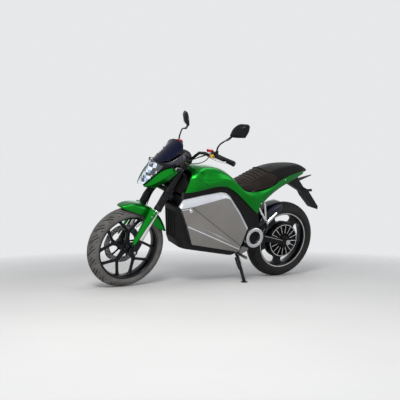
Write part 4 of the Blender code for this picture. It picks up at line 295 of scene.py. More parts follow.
# Painted highlight on the lamp's facets.
LAMP_HIGHLIGHT_WHITE = painted("lamp_reflector_painted_highlight", (0.78, 0.84, 0.92), (0.88, 0.92, 0.97), (0.08, 0.16), metal=0.0,
                     strength=0.02)
CALIPER_BLUE = painted("caliper_grey", (0.045, 0.055, 0.07), (0.08, 0.095, 0.115), (0.25, 0.36), metal=0.5)
WING_PURPLE = painted("wing_grey", (0.02, 0.019, 0.03), (0.032, 0.03, 0.046), (0.16, 0.24), coat=0.4)
HUGGER_BLUE = painted("hugger_blue_black", (0.004, 0.006, 0.014), (0.008, 0.011, 0.024), (0.1, 0.16),
                      coat=0.15, spec=0.25)
RING_ALLOY = brushed("ring_alloy", (0.5, 0.51, 0.53), (0.62, 0.63, 0.65), (0.2, 0.32))


# pieces
def place(obj, body, material, replaces=()):
    """Hang a finished piece, made in the bike's upright axes, on its body."""
    obj.data.materials.clear()
    obj.data.materials.append(material)
    obj.matrix_world = PLACES[body]
    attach(obj, body)
    if len(replaces):
        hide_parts(*replaces)
    return obj


def shade(obj, smooth):
    """Smooth shading, with edges sharper than an angle in degrees kept."""
    obj.data.shade_smooth()
    if smooth < 180:
        obj.data.set_sharp_from_angle(angle=math.radians(smooth))


def from_bm(name, bm, smooth=35.0):
    """Turn a shape into an object of the scene."""
    bmesh.ops.recalc_face_normals(bm, faces=bm.faces)
    mesh = bpy.data.meshes.new(name)
    bm.to_mesh(mesh)
    bm.free()
    obj = bpy.data.objects.new(name, mesh)
    bpy.context.scene.collection.objects.link(obj)
    shade(obj, smooth)
    return obj


def single(name, bm, body, material, nodes=(), smooth=35.0):
    """Finish a shape and place it; nodes are the CAD pieces it stands for."""
    return place(from_bm(name, bm, smooth), body, material, nodes)


def twins(obj, body, material, nodes=()):
    """Place a left piece and its mirror twin; nodes are stems of the CAD pieces they stand for."""
    stem = obj.name
    twin = obj.copy()
    twin.data = obj.data.copy()
    twin.name = stem + "_right"
    twin.data.transform(Matrix.Scale(-1.0, 4, LEFT))
    twin.data.flip_normals()
    bpy.context.scene.collection.objects.link(twin)
    obj.name = stem + "_left"
    place(obj, body, material, [n + "_left" for n in nodes])
    place(twin, body, material, [n + "_right" for n in nodes])


def pair(name, bm, body, material, nodes=(), smooth=35.0):
    """Finish a left shape and place it with its mirror twin."""
    twins(from_bm(name, bm, smooth), body, material, nodes)


def thicken(obj, thickness, offset=-1.0):
    """Give a skin a wall, inward unless the offset says otherwise."""
    wall = obj.modifiers.new("wall", "SOLIDIFY")
    wall.thickness = thickness
    wall.offset = offset
    wall.use_even_offset = True
    return obj


EDGE_WIDTH = 0.0012
EDGE_ANGLE = math.radians(28.0)
MERGE_GAP = 0.00002
FLAT_ANGLE = math.radians(0.6)


def dress(name, material):
    """The CAD node with its flat faces whole again, rounded edges and its material."""
    body = NODES[name]["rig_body"]
    bm = bmesh.new()
    bm.from_mesh(NODES[name].data)
    bmesh.ops.transform(bm, matrix=PLACES[body].inverted(), verts=bm.verts)
    bmesh.ops.remove_doubles(bm, verts=bm.verts, dist=MERGE_GAP)
    bmesh.ops.dissolve_limit(bm, angle_limit=FLAT_ANGLE, verts=bm.verts, edges=bm.edges)
    obj = from_bm(name + "_dressed", bm, 180)
    bevel = obj.modifiers.new("edges", "BEVEL")
    bevel.width = EDGE_WIDTH
    bevel.segments = 2
    bevel.limit_method = "ANGLE"
    bevel.angle_limit = EDGE_ANGLE
    bevel.miter_outer = "MITER_ARC"
    obj.modifiers.new("normals", "WEIGHTED_NORMAL")
    place(obj, body, material, [name])


# making shapes
def mm(table):
    """The same nested table, given in millimetres, in metres."""
    return [mm(entry) for entry in table] if isinstance(table, (list, tuple)) else table / 1000


def span(points, per_span, sharp=()):
    """Smooth line through points; corners stay where sharp names them."""
    points = np.asarray(points, float)
    last = len(points) - 1
    reach = np.linalg.norm(np.diff(points, axis=0), axis=1) + 1e-9
    slope = np.diff(points, axis=0) / reach[:, None]

    def tangent(k, side):
        if k in (0, last) or k in sharp:
            return slope[min(k, last - 1)] if side > 0 else slope[k - 1]
        return (slope[k - 1] * reach[k] + slope[k] * reach[k - 1]) / (reach[k - 1] + reach[k])

    out = [points[0]]
    for k in range(last):
        a, b = tangent(k, 1) * reach[k], tangent(k + 1, -1) * reach[k]
        for t in np.linspace(0, 1, per_span + 1)[1:]:
            out.append((2 * t ** 3 - 3 * t ** 2 + 1) * points[k] + (t ** 3 - 2 * t ** 2 + t) * a
                       + (3 * t ** 2 - 2 * t ** 3) * points[k + 1] + (t ** 3 - t ** 2) * b)
    return np.array(out)


def net(rows, per_row, per_column, sharp_rows=(), sharp_columns=()):
    """Finer grid through a net of points: per_row pieces along a row, per_column down the columns."""
    wide = np.array([span(row, per_row, sharp_columns) for row in rows])
    columns = [span(wide[:, j], per_column, sharp_rows) for j in range(wide.shape[1])]
    return np.array(columns).transpose(1, 0, 2)


def add_grid(bm, grid, round_u=False, round_v=False):
    """Quads over a grid of points; returns its corners."""
    count_u, count_v = len(grid), len(grid[0])
    made = [[bm.verts.new(Vector(p)) for p in row] for row in grid]
    for i in range(count_u if round_u else count_u - 1):
        for j in range(count_v if round_v else count_v - 1):
            k, m = (i + 1) % count_u, (j + 1) % count_v
            bm.faces.new((made[i][j], made[i][m], made[k][m], made[k][j]))
    return made


def add_loft(bm, loops):
    """Closed body through loops of points, capped at both ends."""
    made = add_grid(bm, loops, round_v=True)
    for loop in (made[0], made[-1]):
        bm.faces.new(loop)


def around(count):
    """Evenly spaced angles of one full turn."""
    return np.linspace(0, math.tau, count, endpoint=False)


def squircle(width, depth, power=4.0, count=20):
    """Rounded box section as (across, along) pairs."""
    out = []
    for angle in around(count):
        c, s = math.cos(angle), math.sin(angle)
        out.append((width / 2 * math.copysign(abs(c) ** (2 / power), c),
                    depth / 2 * math.copysign(abs(s) ** (2 / power), s)))
    return out


def add_bar(bm, points, widths, depths, side=LEFT, power=4.0, count=16):
    """Bar along a route, its width in the plane and its depth along side."""
    points = [Vector(p) for p in points]
    loops = []
    for k, point in enumerate(points):
        run = (points[min(k + 1, len(points) - 1)] - points[max(k - 1, 0)]).normalized()
        across = side.cross(run).normalized()
        deep = run.cross(across).normalized()
        loops.append([point + across * a + deep * b for a, b in squircle(widths[k], depths[k], power,
                                                                         count)])
    add_loft(bm, loops)


def add_tube(bm, points, radius, sides=12):
    """Round tube along a route; radius may be one value or one for each point."""
    points = [Vector(p) for p in points]
    radii = radius if isinstance(radius, (list, tuple)) else [radius] * len(points)
    side = None
    loops = []
    for k, point in enumerate(points):
        run = (points[min(k + 1, len(points) - 1)] - points[max(k - 1, 0)]).normalized()
        side = run.orthogonal() if side is None else side - run * side.dot(run)
        side.normalize()
        other = run.cross(side)
        loops.append([point + (side * math.cos(a) + other * math.sin(a)) * radii[k]
                      for a in around(sides)])
    add_loft(bm, loops)


def add_lathe(bm, profile, centre, axis=LEFT, steps=64, closed=False):
    """Profile of (radius, along) turned about an axis."""
    centre, axis = Vector(centre), Vector(axis).normalized()
    side = axis.orthogonal().normalized()
    other = axis.cross(side)
    grid = [[centre + axis * along + (side * math.cos(a) + other * math.sin(a)) * max(radius, 1e-5)
             for radius, along in profile] for a in around(steps)]
    add_grid(bm, grid, round_u=True, round_v=closed)


def add_box(bm, centre, size, turn=None):
    """Box with its size along its own, turned axes."""
    made = bmesh.ops.create_cube(bm, size=1.0)["verts"]
    bmesh.ops.scale(bm, vec=Vector(size), verts=made)
    matrix = Matrix.Translation(Vector(centre))
    bmesh.ops.transform(bm, matrix=matrix @ turn.to_4x4() if turn else matrix, verts=made)


BOLT = ((0.0, 0.3), (0.42, 0.3), (0.5, 0.42), (0.54, 0.92), (0.72, 1.0), (0.94, 0.8), (1.0, 0.45),
        (1.0, -1.5))


def add_bolt(bm, at, axis, radius, height):
    """Socket-head bolt that stands on a surface."""
    add_lathe(bm, [(r * radius, h * height) for r, h in BOLT], at, axis, 18)


def add_blocks(bm, origin, turn, sections, power=4, count=20):
    """Loft of rounded boxes: (along, width, depth) on the turned axes about an origin."""
    add_loft(bm, [[origin + turn @ Vector((along, a, b)) for a, b in squircle(width, depth, power, count)]
                  for along, width, depth in sections])


def turned(name, body, material, lathes, nodes=()):
    """Piece made of lathed profiles: (profile, centre, axis, steps, closed)."""
    bm = bmesh.new()
    for lathe in lathes:
        add_lathe(bm, *lathe)
    return single(name, bm, body, material, nodes)


def sheet(name, grid, wall, smooth=60.0):
    """Skin of some thickness over a grid of points."""
    bm = bmesh.new()
    add_grid(bm, grid)
    return thicken(from_bm(name, bm, smooth), wall)


def whole(half):
    """A line or net from one side to the middle, with its mirror image after it."""
    half = np.array(half)
    return np.concatenate((half, half[-2::-1] * (1, -1, 1)))


def bowed(sides, middles, shares, power):
    """Rows from a side line to its mirror image, bowed out to a middle line."""
    rows = []
    for side, middle in zip(np.array(sides), np.array(middles)):
        row = []
        for share in shares:
            ease = abs(share) ** power
            point = middle * (1 - ease) + side * ease
            point[1] = side[1] * share
            row.append(point)
        rows.append(row)
    return rows


def tree_of(obj):
    """Search tree over a shape, to find points on its surface."""
    bm = bmesh.new()
    bm.from_mesh(obj.data)
    tree = BVHTree.FromBMesh(bm)
    bm.free()
    return tree


def seen_from_left(tree, x, z):
    """Point and normal where a line of sight from the left meets a surface."""
    spot, normal, _, _ = tree.ray_cast(Vector((x, 0.6, z)), -LEFT)
    return spot, normal


def draped(name, tree, route, widths, lift):
    """Thin strip laid along a side-view route on the surface of a mesh."""
    line = span([(x, z, 0) for x, z in route], max(2, 40 // (len(route) - 1)))
    last = len(line) - 1
    rows = []
    for k in range(len(line)):
        run = line[min(k + 1, last)] - line[max(k - 1, 0)]
        run = run / np.linalg.norm(run)
        aside = np.array((-run[1], run[0], 0))
        half = float(np.interp(k / last, np.linspace(0, 1, len(widths)), widths)) / 2
        row = []
        for share, rise in ((-1, 0), (-0.4, 1), (0.4, 1), (1, 0)):
            x, z, _ = line[k] + aside * half * share
            spot, normal = seen_from_left(tree, x, z)
            if spot is None:
                break
            row.append(spot + normal * lift * rise)
        if len(row) == 4:
            rows.append(row)
    bm = bmesh.new()
    add_grid(bm, rows)
    return from_bm(name, bm)


def wheel_point(axle, radius, angle, left=0.0):
    """Point about an axle: 0 ahead, 90 degrees up."""
    return axle + Vector((radius * math.cos(angle), left, radius * math.sin(angle)))


def guard(name, stations, section, axle, per_column):
    """Mudguard skin through stations round an axle: degrees, crown radius, half width, skirt depth."""
    rows = []
    for degrees, crown, half, skirt in stations:
        row = [(across * half, crown - skirt * drop) for across, drop in section]
        row += [(-y, r) for y, r in row[-2::-1]]
        rows.append([wheel_point(axle, r, math.radians(degrees), y) for y, r in row])
    return sheet(name, net(rows, 6, per_column), 0.0028)


# wheels
FLANGE = 0.228
GROOVE_DEPTH = 0.0042
MOTOR_HALF_WIDTH = 0.056


def tyre_line(radius, width, rim_half, count):
    """Half section of a tyre from its crown to its bead as (across, radius), evenly spaced."""
    half, depth = width / 2, (radius - FLANGE) * 0.83
    points = [(half * math.sin(a), radius - depth + depth * math.cos(a))
              for a in np.radians(np.linspace(0, 82, 40))]
    end = points[-1]
    foot = rim_half - 0.0065
    for share, drop in ((0.985, 0.0085), (0.93, 0.0135), (0.83, 0.0175), (0.73, 0.0195)):
        points.append((end[0] * share, end[1] - drop * (end[1] - FLANGE) / 0.0205))
    points += [(foot + 0.001, FLANGE + 0.001), (foot - 0.001, FLANGE - 0.0005),
               (foot - 0.002, FLANGE - 0.004)]
    points = np.array(points)
    along = np.concatenate(([0], np.cumsum(np.linalg.norm(np.diff(points, axis=0), axis=1))))
    even = np.linspace(0, along[-1], count)
    return np.interp(even, along, points[:, 0]), np.interp(even, along, points[:, 1]), even


def tyre(name, node, body, axle, radius, width, rim_half, material, cuts, steps=840, count=42):
    """Round tyre with its tread grooves cut in; cuts are (pitches, phase, start, end, slant, width, bend)."""
    across, reach, along = tyre_line(radius, width, rim_half, count)
    normal_a, normal_r = -np.gradient(reach), np.gradient(across)
    length = np.hypot(normal_a, normal_r)
    normal_a, normal_r = normal_a / length, normal_r / length
    turn = around(steps)
    grid, marks = [], []
    for side in (-1, 1):
        groove = np.zeros((steps, count))
        for pitches, phase, start, end, slant, wide, bend in cuts:
            pitch = math.tau / pitches
            t = np.clip((along - start) / (end - start), 0, 1)
            path = (slant * t + bend * t * (1 - t)) / radius
            offset = turn[:, None] - path[None, :] - (phase + (0.5 if side > 0 else 0.0)) * pitch
            away = np.abs((offset + pitch / 2) % pitch - pitch / 2) * radius
            lean = math.hypot(slant, end - start) / (end - start)
            fade = np.clip((along - start) / 0.004, 0, 1) * np.clip((end - along) / 0.008, 0, 1)
            depth = np.clip((wide / 2 * lean - away) / (wide / 4 * lean), 0, 1)
            groove = np.maximum(groove, depth * fade[None, :])
        ridge = 0.0007 * np.exp(-((reach - FLANGE - 0.017) / 0.0012) ** 2)
        ridge += 0.0006 * np.exp(-((reach - FLANGE - 0.008) / 0.001) ** 2)
        sink = ridge[None, :] - groove * GROOVE_DEPTH
        y = side * (across[None, :] + normal_a[None, :] * sink)
        r = reach[None, :] + normal_r[None, :] * sink
        x = np.cos(turn)[:, None] * r
        z = np.sin(turn)[:, None] * r
        half = np.stack((x, y, z), axis=-1)
        grid.append(half if side > 0 else half[:, :0:-1])
        marks.append(groove if side > 0 else groove[:, :0:-1])
    points = np.concatenate(grid, axis=1)
    marks = np.concatenate(marks, axis=1)
    n, m = points.shape[:2]
    index = np.arange(n * m).reshape(n, m)
    ahead = np.roll(index, -1, axis=0)
    faces = np.stack((index[:, :-1], index[:, 1:], ahead[:, 1:], ahead[:, :-1]), axis=-1).reshape(-1, 4)
    mesh = bpy.data.meshes.new(name)
    mesh.from_pydata((points.reshape(-1, 3) + np.array(axle)).tolist(), [], faces.tolist())
    # Groove depth kept on the mesh, from which the rubber material paints shade into the grooves.
    depth = mesh.attributes.new("groove", "FLOAT", "POINT")
    depth.data.foreach_set("value", marks.reshape(-1).astype(np.float32))
    mesh.update()
    obj = bpy.data.objects.new(name, mesh)
    bpy.context.scene.collection.objects.link(obj)
    shade(obj, 50)
    place(obj, body, material, [node])


def twin_profile(profile):
    """The same (radius, along) points on the other side of the wheel, in reverse order."""
    return [(radius, -along) for radius, along in reversed(profile)]


def barrel(width):
    """Closed section of a cast rim: outer lip, well and inner face, as (radius, along)."""
    h = width / 2
    outer = [(0.2285, h), (0.2285, h - 0.0035), (0.224, h - 0.006), (0.2175, h - 0.007), (0.217, h - 0.016),
             (0.212, 0.01)]
    inner = [(0.2262, -h), (0.2215, 0.0012 - h), (0.219, 0.0045 - h), (0.2135, 0.0075 - h),
             (0.2105, 0.016 - h)]
    return outer + twin_profile(outer) + inner + [(0.2085, 0.0)] + twin_profile(inner)


def front_wheel():
    """Treaded tyre, five forked spokes on their rim, and the drilled disc."""
    tyre("front_tread", "front_tyre", "front_wheel", FRONT_AXLE, 0.2928, 0.11, 0.039, TYRE_FRONT,
         ((21, 0.0, 0.006, 0.064, 0.072, 0.0078, 0.01), (21, 0.48, 0.016, 0.05, 0.046, 0.0062, 0.006),
          (21, 0.3, 0.052, 0.07, 0.016, 0.005, 0.0)))
    bm = bmesh.new()
    add_lathe(bm, barrel(0.078), FRONT_AXLE, LEFT, 128, True)
    for k in range(5):
        angle = math.pi / 2 + k * math.tau / 5
        stem = [wheel_point(FRONT_AXLE, r, angle) for r in (0.022, 0.05, 0.085, 0.118, 0.128)]
        add_bar(bm, stem, [0.046, 0.032, 0.028, 0.032, 0.02], [0.054, 0.036, 0.03, 0.026, 0.02], power=3.0)
        for way in (-1, 1):
            route = [wheel_point(FRONT_AXLE, 0.106, angle)]
            for r, share in ((0.128, 0.3), (0.155, 0.62), (0.182, 0.84), (0.205, 0.98), (0.2125, 1.03)):
                route.append(wheel_point(FRONT_AXLE, r, angle + way * math.radians(22.4) * share))
            add_bar(bm, route, [0.016, 0.0205, 0.0195, 0.0195, 0.024, 0.034],
                    [0.022, 0.025, 0.024, 0.024, 0.028, 0.036], power=3.0)
    hub = ((0.014, 0.062), (0.026, 0.062), (0.028, 0.06), (0.028, 0.052), (0.034, 0.048), (0.03, 0.026),
           (0.036, 0.012), (0.036, -0.012), (0.03, -0.026), (0.034, -0.05), (0.046, -0.056), (0.046,
                                                                                              -0.0655),
           (0.014, -0.0655))
    add_lathe(bm, hub, FRONT_AXLE, LEFT, 64, True)
    single("front_cast_wheel", bm, "front_wheel", BLACK_GLOSS, ["front_rim"])
    edge = ((0.2262, 0.0392), (0.2282, 0.0392), (0.2286, 0.0385))
    turned("front_rim_edge", "front_wheel", DARK_ALLOY, [(edge, FRONT_AXLE, way, 128)
                                                         for way in (LEFT, -LEFT)])
    brake_disc("front_brake_disc", "front_wheel", FRONT_AXLE, -0.0663, -0.0703, 0.1, 0.14, "front_disc",
               0.046)


def brake_disc(name, body, axle, near, far, inner, outer, node, carrier):
    """Drilled brake disc with its carrier's arms, bobbins and bolts."""
    middle, wall = (near + far) / 2, abs(near - far)
    steps = 240
    radii = np.linspace(inner, outer, 10)
    bm = bmesh.new()
    made = []
    for t in around(steps):
        wave = [0.0] * 9 + [0.0015 * math.cos(t * 10)]
        made.append([bm.verts.new(wheel_point(axle, r + w, t, middle)) for r, w in zip(radii, wave)])
    for i in range(steps):
        a, b = made[i], made[(i + 1) % steps]
        for j in range(9):
            drilled = j in (2, 4, 6) and (i + j * 3) % 10 in (0, 1)
            if not drilled:
                bm.faces.new((a[j], a[j + 1], b[j + 1], b[j]))
    place(thicken(from_bm(name, bm), wall * 0.98, 0.0), body, DISC, [node])
    bm = bmesh.new()
    add_lathe(bm, ((0.024, near), (carrier, near), (carrier, far), (0.024, far)), axle, LEFT, 48, True)
    for k in range(5):
        angle = math.pi / 2 + k * math.tau / 5
        route = [wheel_point(axle, r, angle + (r - carrier) * 2.2, middle)
                 for r in np.linspace(carrier - 0.006, inner + 0.004, 6)]
        add_bar(bm, route, [0.02, 0.015, 0.013, 0.013, 0.015, 0.02], [wall * 0.9] * 6, power=6)
        tip = wheel_point(axle, inner + 0.003, angle + (inner + 0.004 - carrier) * 2.2, far)
        add_bolt(bm, tip, -LEFT, 0.0065, 0.0022)
        add_bolt(bm, wheel_point(axle, carrier - 0.01, angle + 0.6, far), -LEFT, 0.005, 0.003)
    single(name + "_carrier", bm, body, BLACK_SATIN)


def rear_wheel():
    """Treaded tyre, rim with five wide spokes round the motor, its stripe and the disc."""
    tyre("rear_tread", "rear_tyre", "rear_wheel", REAR_AXLE, 0.3138, 0.14, 0.049, TYRE_REAR,
         ((18, 0.0, 0.01, 0.078, 0.08, 0.0062, 0.014), (18, 0.45, 0.022, 0.066, 0.052, 0.005,
                                                        0.008)), 800, 46)
    bm = bmesh.new()
    add_lathe(bm, barrel(0.098), REAR_AXLE, LEFT, 128, True)
    radii = np.linspace(0.1388, 0.2115, 13)
    for k in range(5):
        middle = math.radians(54) + k * math.tau / 5
        loops = []
        for r in radii:
            t = (r - 0.15) / (0.208 - 0.15)
            flare = 0.17 * (max(0.0, 1 - t / 0.3) ** 2 + max(0.0, (t - 0.7) / 0.3) ** 2)
            half = 0.185 + min(flare, 0.62 - 0.185)
            depth = 0.0135 + 0.003 * abs(2 * min(max(t, 0), 1) - 1)
            loop = []
            for way in (1, -1):
                loop += [wheel_point(REAR_AXLE, r, middle + half * s, way * (depth - 0.003 * abs(s) ** 4))
                         for s in np.linspace(-way, way, 9)]
            loops.append(loop)
        add_loft(bm, loops)
    add_lathe(bm, ((0.1384, 0.018), (0.15, 0.018), (0.152, 0.015), (0.152, -0.015), (0.15, -0.018),
                   (0.1384, -0.018)), REAR_AXLE, LEFT, 128, True)
    single("rear_cast_wheel", bm, "rear_wheel", BLACK_GLOSS, ["rear_rim"])
    stripe = ((0.22, 0.0488), (0.2212, 0.0493), (0.2278, 0.0493), (0.2286, 0.0486))
    turned("rear_rim_stripe", "rear_wheel", STRIPE, [(stripe, REAR_AXLE, way, 144) for way in (LEFT, -LEFT)])
    hub_motor()
    brake_disc("rear_brake_disc", "rear_wheel", REAR_AXLE, -0.0835, -0.0875, 0.074, 0.11, "rear_disc", 0.04)


def add_fins(bm, stations, power, count):
    """Sixteen fins on each face of the hub motor: radius, distance out, width and depth of each station."""
    widths, depths = [s[2] for s in stations], [s[3] for s in stations]
    for k in range(16):
        for side in (1, -1):
            route = [wheel_point(REAR_AXLE, s[0], k * math.tau / 16, side * s[1]) for s in stations]
            add_bar(bm, route, widths, depths, power=power, count=count)


def hub_motor():
    """Ribbed shell with bosses at the axle, and the bright fins and ring bolts."""
    half = MOTOR_HALF_WIDTH
    root, crown = half - 0.006, half + 0.005
    shell = [(0.036, half - 0.002), (0.046, half - 0.001), (0.05, root), (0.118, half - 0.012),
             (0.124, root),
             (0.1275, half + 0.001), (0.134, half + 0.001), (0.1375, half - 0.003), (0.138, half - 0.008),
             (0.138, 0.03), (0.138, 0.029), (0.1345, 0.028), (0.1345, 0.024), (0.138, 0.023), (0.138, 0.0)]
    boss = [(0.012, half + 0.0135), (0.034, half + 0.0135), (0.0385, half + 0.011), (0.0395, half + 0.004),
            (0.0395, half - 0.01)]
    bm = bmesh.new()
    add_lathe(bm, shell + twin_profile(shell), REAR_AXLE, LEFT, 128, True)
    add_lathe(bm, boss, REAR_AXLE, LEFT, 48)
    add_lathe(bm, [(r, -a - (0.013 if a > half else 0)) for r, a in boss], REAR_AXLE, LEFT, 48)
    add_fins(bm, ((0.044, root, 0.0055, 0.01), (0.06, root, 0.0055, 0.018), (0.115, root, 0.0055, 0.021),
                  (0.1275, root, 0.0055, 0.014)), 8, 12)
    single("hub_motor_shell", bm, "rear_wheel", BLACK_SATIN, ["rear_motor"])
    bm = bmesh.new()
    add_fins(bm, ((0.062, half + 0.0035, 0.003, 0.003), (0.072, crown, 0.0042, 0.004),
                  (0.095, crown, 0.0044, 0.004), (0.116, crown, 0.0042, 0.004),
                  (0.124, half + 0.0035, 0.003, 0.002)), 5, 10)
    for side in (1, -1):
        add_lathe(bm, ((0.1285, half + 0.0014), (0.133, half + 0.0014)), REAR_AXLE, LEFT * side, 96)
        for k in range(8):
            spot = wheel_point(REAR_AXLE, 0.1308, (k + 0.5) * math.tau / 8, side * (half + 0.001))
            add_bolt(bm, spot, LEFT * side, 0.004, 0.003)
    single("hub_motor_bright_fins", bm, "rear_wheel", FIN_ALLOY)


front_wheel()
rear_wheel()


# silver side covers
def resample(points, count):
    """Evenly spaced points along a line."""
    points = np.asarray(points, float)
    along = np.concatenate(([0], np.cumsum(np.linalg.norm(np.diff(points, axis=0), axis=1))))
    even = np.linspace(0, along[-1], count)
    return np.stack([np.interp(even, along, points[:, k]) for k in range(3)], axis=1)


def ruled(bm, first, second, count, rows, bulge=0.0):
    """Surface between two lines, swelled sideways in its middle."""
    a, b = resample(first, count), resample(second, count)
    grid = []
    for t in np.linspace(0, 1, rows + 1):
        row = a * (1 - t) + b * t
        row[:, 1] += 4 * bulge * t * (1 - t)
        grid.append(row)
    add_grid(bm, grid)


def walled(bm):
    """Merge the patches and turn their outer edge in to the cover's back plane."""
    bmesh.ops.remove_doubles(bm, verts=bm.verts, dist=0.0004)
    rim = [e for e in bm.edges if e.is_boundary]
    made = bmesh.ops.extrude_edge_only(bm, edges=rim)["geom"]
    for vert in made:
        if isinstance(vert, bmesh.types.BMVert):
            vert.co.y = COVER_BACK


COVER_BACK = 0.1257
COVER_OUTER = mm([(1033, 139, 610), (1004, 139, 660), (850, 139, 694), (700, 139, 721), (655, 139, 715),
                  (622, 139, 694), (511, 139, 566), (428, 139, 452)])
COVER_INNER = mm([(1024, 156, 600), (940, 158, 614), (800, 158.5, 650), (690, 158.5, 679), (655, 158.5, 683),
                  (628, 158, 672), (526, 156.5, 555), (443, 154, 440)])
COVER_SEAM = mm([(932, 155, 610), (479, 150, 311)])
COVER_CREASE = mm([(966, 160, 476), (489, 154, 284)])
COVER_FOOT = mm([(904, 149, 335), (487, 146, 262)])


def side_covers():
    """Silver panels with their seam, creases, ledge and lock, and the band above; the band and the crease and
    ledge strips are painted highlights in lighter silver.
    """
    bm = bmesh.new()
    ruled(bm, COVER_INNER[1:], COVER_SEAM, 90, 24, 0.0012)
    ruled(bm, COVER_SEAM, COVER_CREASE, 90, 12, -0.0008)
    ruled(bm, COVER_CREASE, COVER_FOOT, 90, 14, 0.0016)
    ruled(bm, [COVER_INNER[0], COVER_CREASE[0]], [COVER_INNER[1], COVER_SEAM[0], COVER_CREASE[0]], 24, 10)
    walled(bm)
    panel = from_bm("side_cover_panel", bm, 30)
    tree = tree_of(panel)
    trims = []
    # The crease, fine crease and ledge strips are painted highlights laid on the panel; the seam strip is its
    # dark joint.
    for name, route, widths, lift, material in (
            ("seam", [(0.931, 0.608), (0.483, 0.313)], (0.0034,), 0.0005, BLACK_SATIN),
            ("crease", [(0.96, 0.472), (0.9, 0.449), (0.494, 0.286)], (0.011, 0.0085, 0.006), 0.0006,
             SILVER_HIGHLIGHT),
            ("fine_crease", [(0.8, 0.444), (0.592, 0.352)], (0.001, 0.0035, 0.001), 0.0005, SILVER_HIGHLIGHT),
            ("ledge", [(1.018, 0.59), (0.944, 0.602)], (0.0055,), 0.0009, SILVER_HIGHLIGHT)):
        trims.append((draped("side_cover_" + name, tree, route, widths, lift), material))
    spot, normal = seen_from_left(tree, 0.944, 0.585)
    bm = bmesh.new()
    add_lathe(bm, ((0.0, 0.001), (0.0065, 0.001), (0.0075, 0.0004), (0.0085, 0.0022), (0.011, 0.0026),
                   (0.013, 0.0008), (0.0135, -0.002)), spot, normal, 40)
    add_box(bm, spot + normal * 0.0012, (0.0022, 0.001, 0.009))
    trims.append((from_bm("side_cover_lock", bm), ALLOY))
    twins(panel, "bike", SILVER, ["side_cover"])
    for trim, material in trims:
        twins(trim, "bike", material)
    # Band painted in lighter silver: a painted highlight along the cover's chamfer.
    bm = bmesh.new()
    ruled(bm, COVER_OUTER, COVER_INNER, 110, 8, 0.0032)
    walled(bm)
    pair("side_cover_band", bm, "bike", SILVER_HIGHLIGHT, smooth=40)


# green bodywork
# crease line of a flank and its foot line, from the front to the tail: x, y, z
FLANK_TOP = mm([(962, 126, 812), (915, 147, 818), (830, 156, 806), (727, 161, 820), (639, 160, 812),
                (570, 156, 779), (511, 151, 741), (453, 146, 727), (385, 142, 731), (315, 138, 745),
                (243, 134, 771), (145, 123, 835), (30, 104, 872), (-92, 72, 900)])
FLANK_FOOT = mm([(996, 138, 711), (940, 146, 720), (850, 149, 740), (745, 150, 765), (660, 148, 763),
                 (592, 146, 733), (520, 143, 684), (436, 138, 620), (354, 133, 560), (298, 129, 652),
                 (240, 122, 703), (144, 110, 765), (20, 92, 822), (-94, 67, 873)])
FLANK_SWELL = mm([0, 4, 6, 4, 3, 4, 6, 8, 9, 8, 6, 4, 2, 1])
# rows over the tank from its crown out to the shoulder and the scoop above the crease
TANK_ROWS = mm([
    [(946, 0, 862), (905, 0, 890), (830, 0, 901), (747, 0, 901), (667, 0, 880), (600, 0, 842),
     (540, 0, 798)],
    [(944, 56, 859), (897, 62, 889), (828, 66, 899.5), (747, 68, 899), (667, 68, 876), (600, 66, 837),
     (538, 60, 793)],
    [(941, 92, 850), (878, 106, 884), (812, 116, 891), (745, 121, 889), (665, 120, 862), (598, 114, 822),
     (534, 100, 784)],
    [(950, 112, 836), (893, 130, 861), (820, 139, 862), (735, 145, 867), (652, 144, 846), (583, 137, 803),
     (522, 127, 763)]])


def green_body():
    """Flanks and tank cover in one sweep, with seams and bolts."""
    mid_a, mid_b, under, inner = [], [], [], []
    for top, foot, swell in zip(np.array(FLANK_TOP), np.array(FLANK_FOOT), FLANK_SWELL):
        mid_a.append(top * 0.72 + foot * 0.28 + (0, swell, 0))
        mid_b.append(top * 0.3 + foot * 0.7 + (0, swell * 0.8, 0))
        under.append((foot[0], min(foot[1] - 0.012, 0.1256), foot[2] + 0.003))
        inner.append(top + (0, -0.03, 0.001))
    grid = net([inner, FLANK_TOP, mid_a, mid_b, FLANK_FOOT, under], 7, 6, (1, 4), (8,))
    flank = sheet("flank_skin", grid, 0.0025, 42)
    tree = tree_of(flank)
    tank = sheet("tank_skin", net(whole([FLANK_TOP[:7]] + TANK_ROWS[::-1]), 8, 7), 0.0025)
    tank_tree = tree_of(tank)
    place(tank, "bike", GREEN, ["tank_cover"])
    twins(flank, "bike", GREEN, ["flank"])
    for name, source, route, width in (
            ("flank_front_seam", tree, [(0.905, 0.812), (0.88, 0.8), (0.824, 0.768)], 0.003),
            ("flank_low_line", tree, [(0.935, 0.733), (0.85, 0.753), (0.745, 0.779), (0.66, 0.777)], 0.0018),
            ("tank_front_seam", tank_tree, [(0.938, 0.858), (0.918, 0.832)], 0.003)):
        twins(draped(name, source, route, (width,), 0.0005), "bike", BLACK_SATIN)
    bm = bmesh.new()
    for x, z in ((0.118, 0.828), (0.33, 0.64)):
        spot, normal = seen_from_left(tree, x, z)
        add_bolt(bm, spot, normal, 0.0068, 0.003)
    pair("flank_bolts", bm, "bike", STEEL)


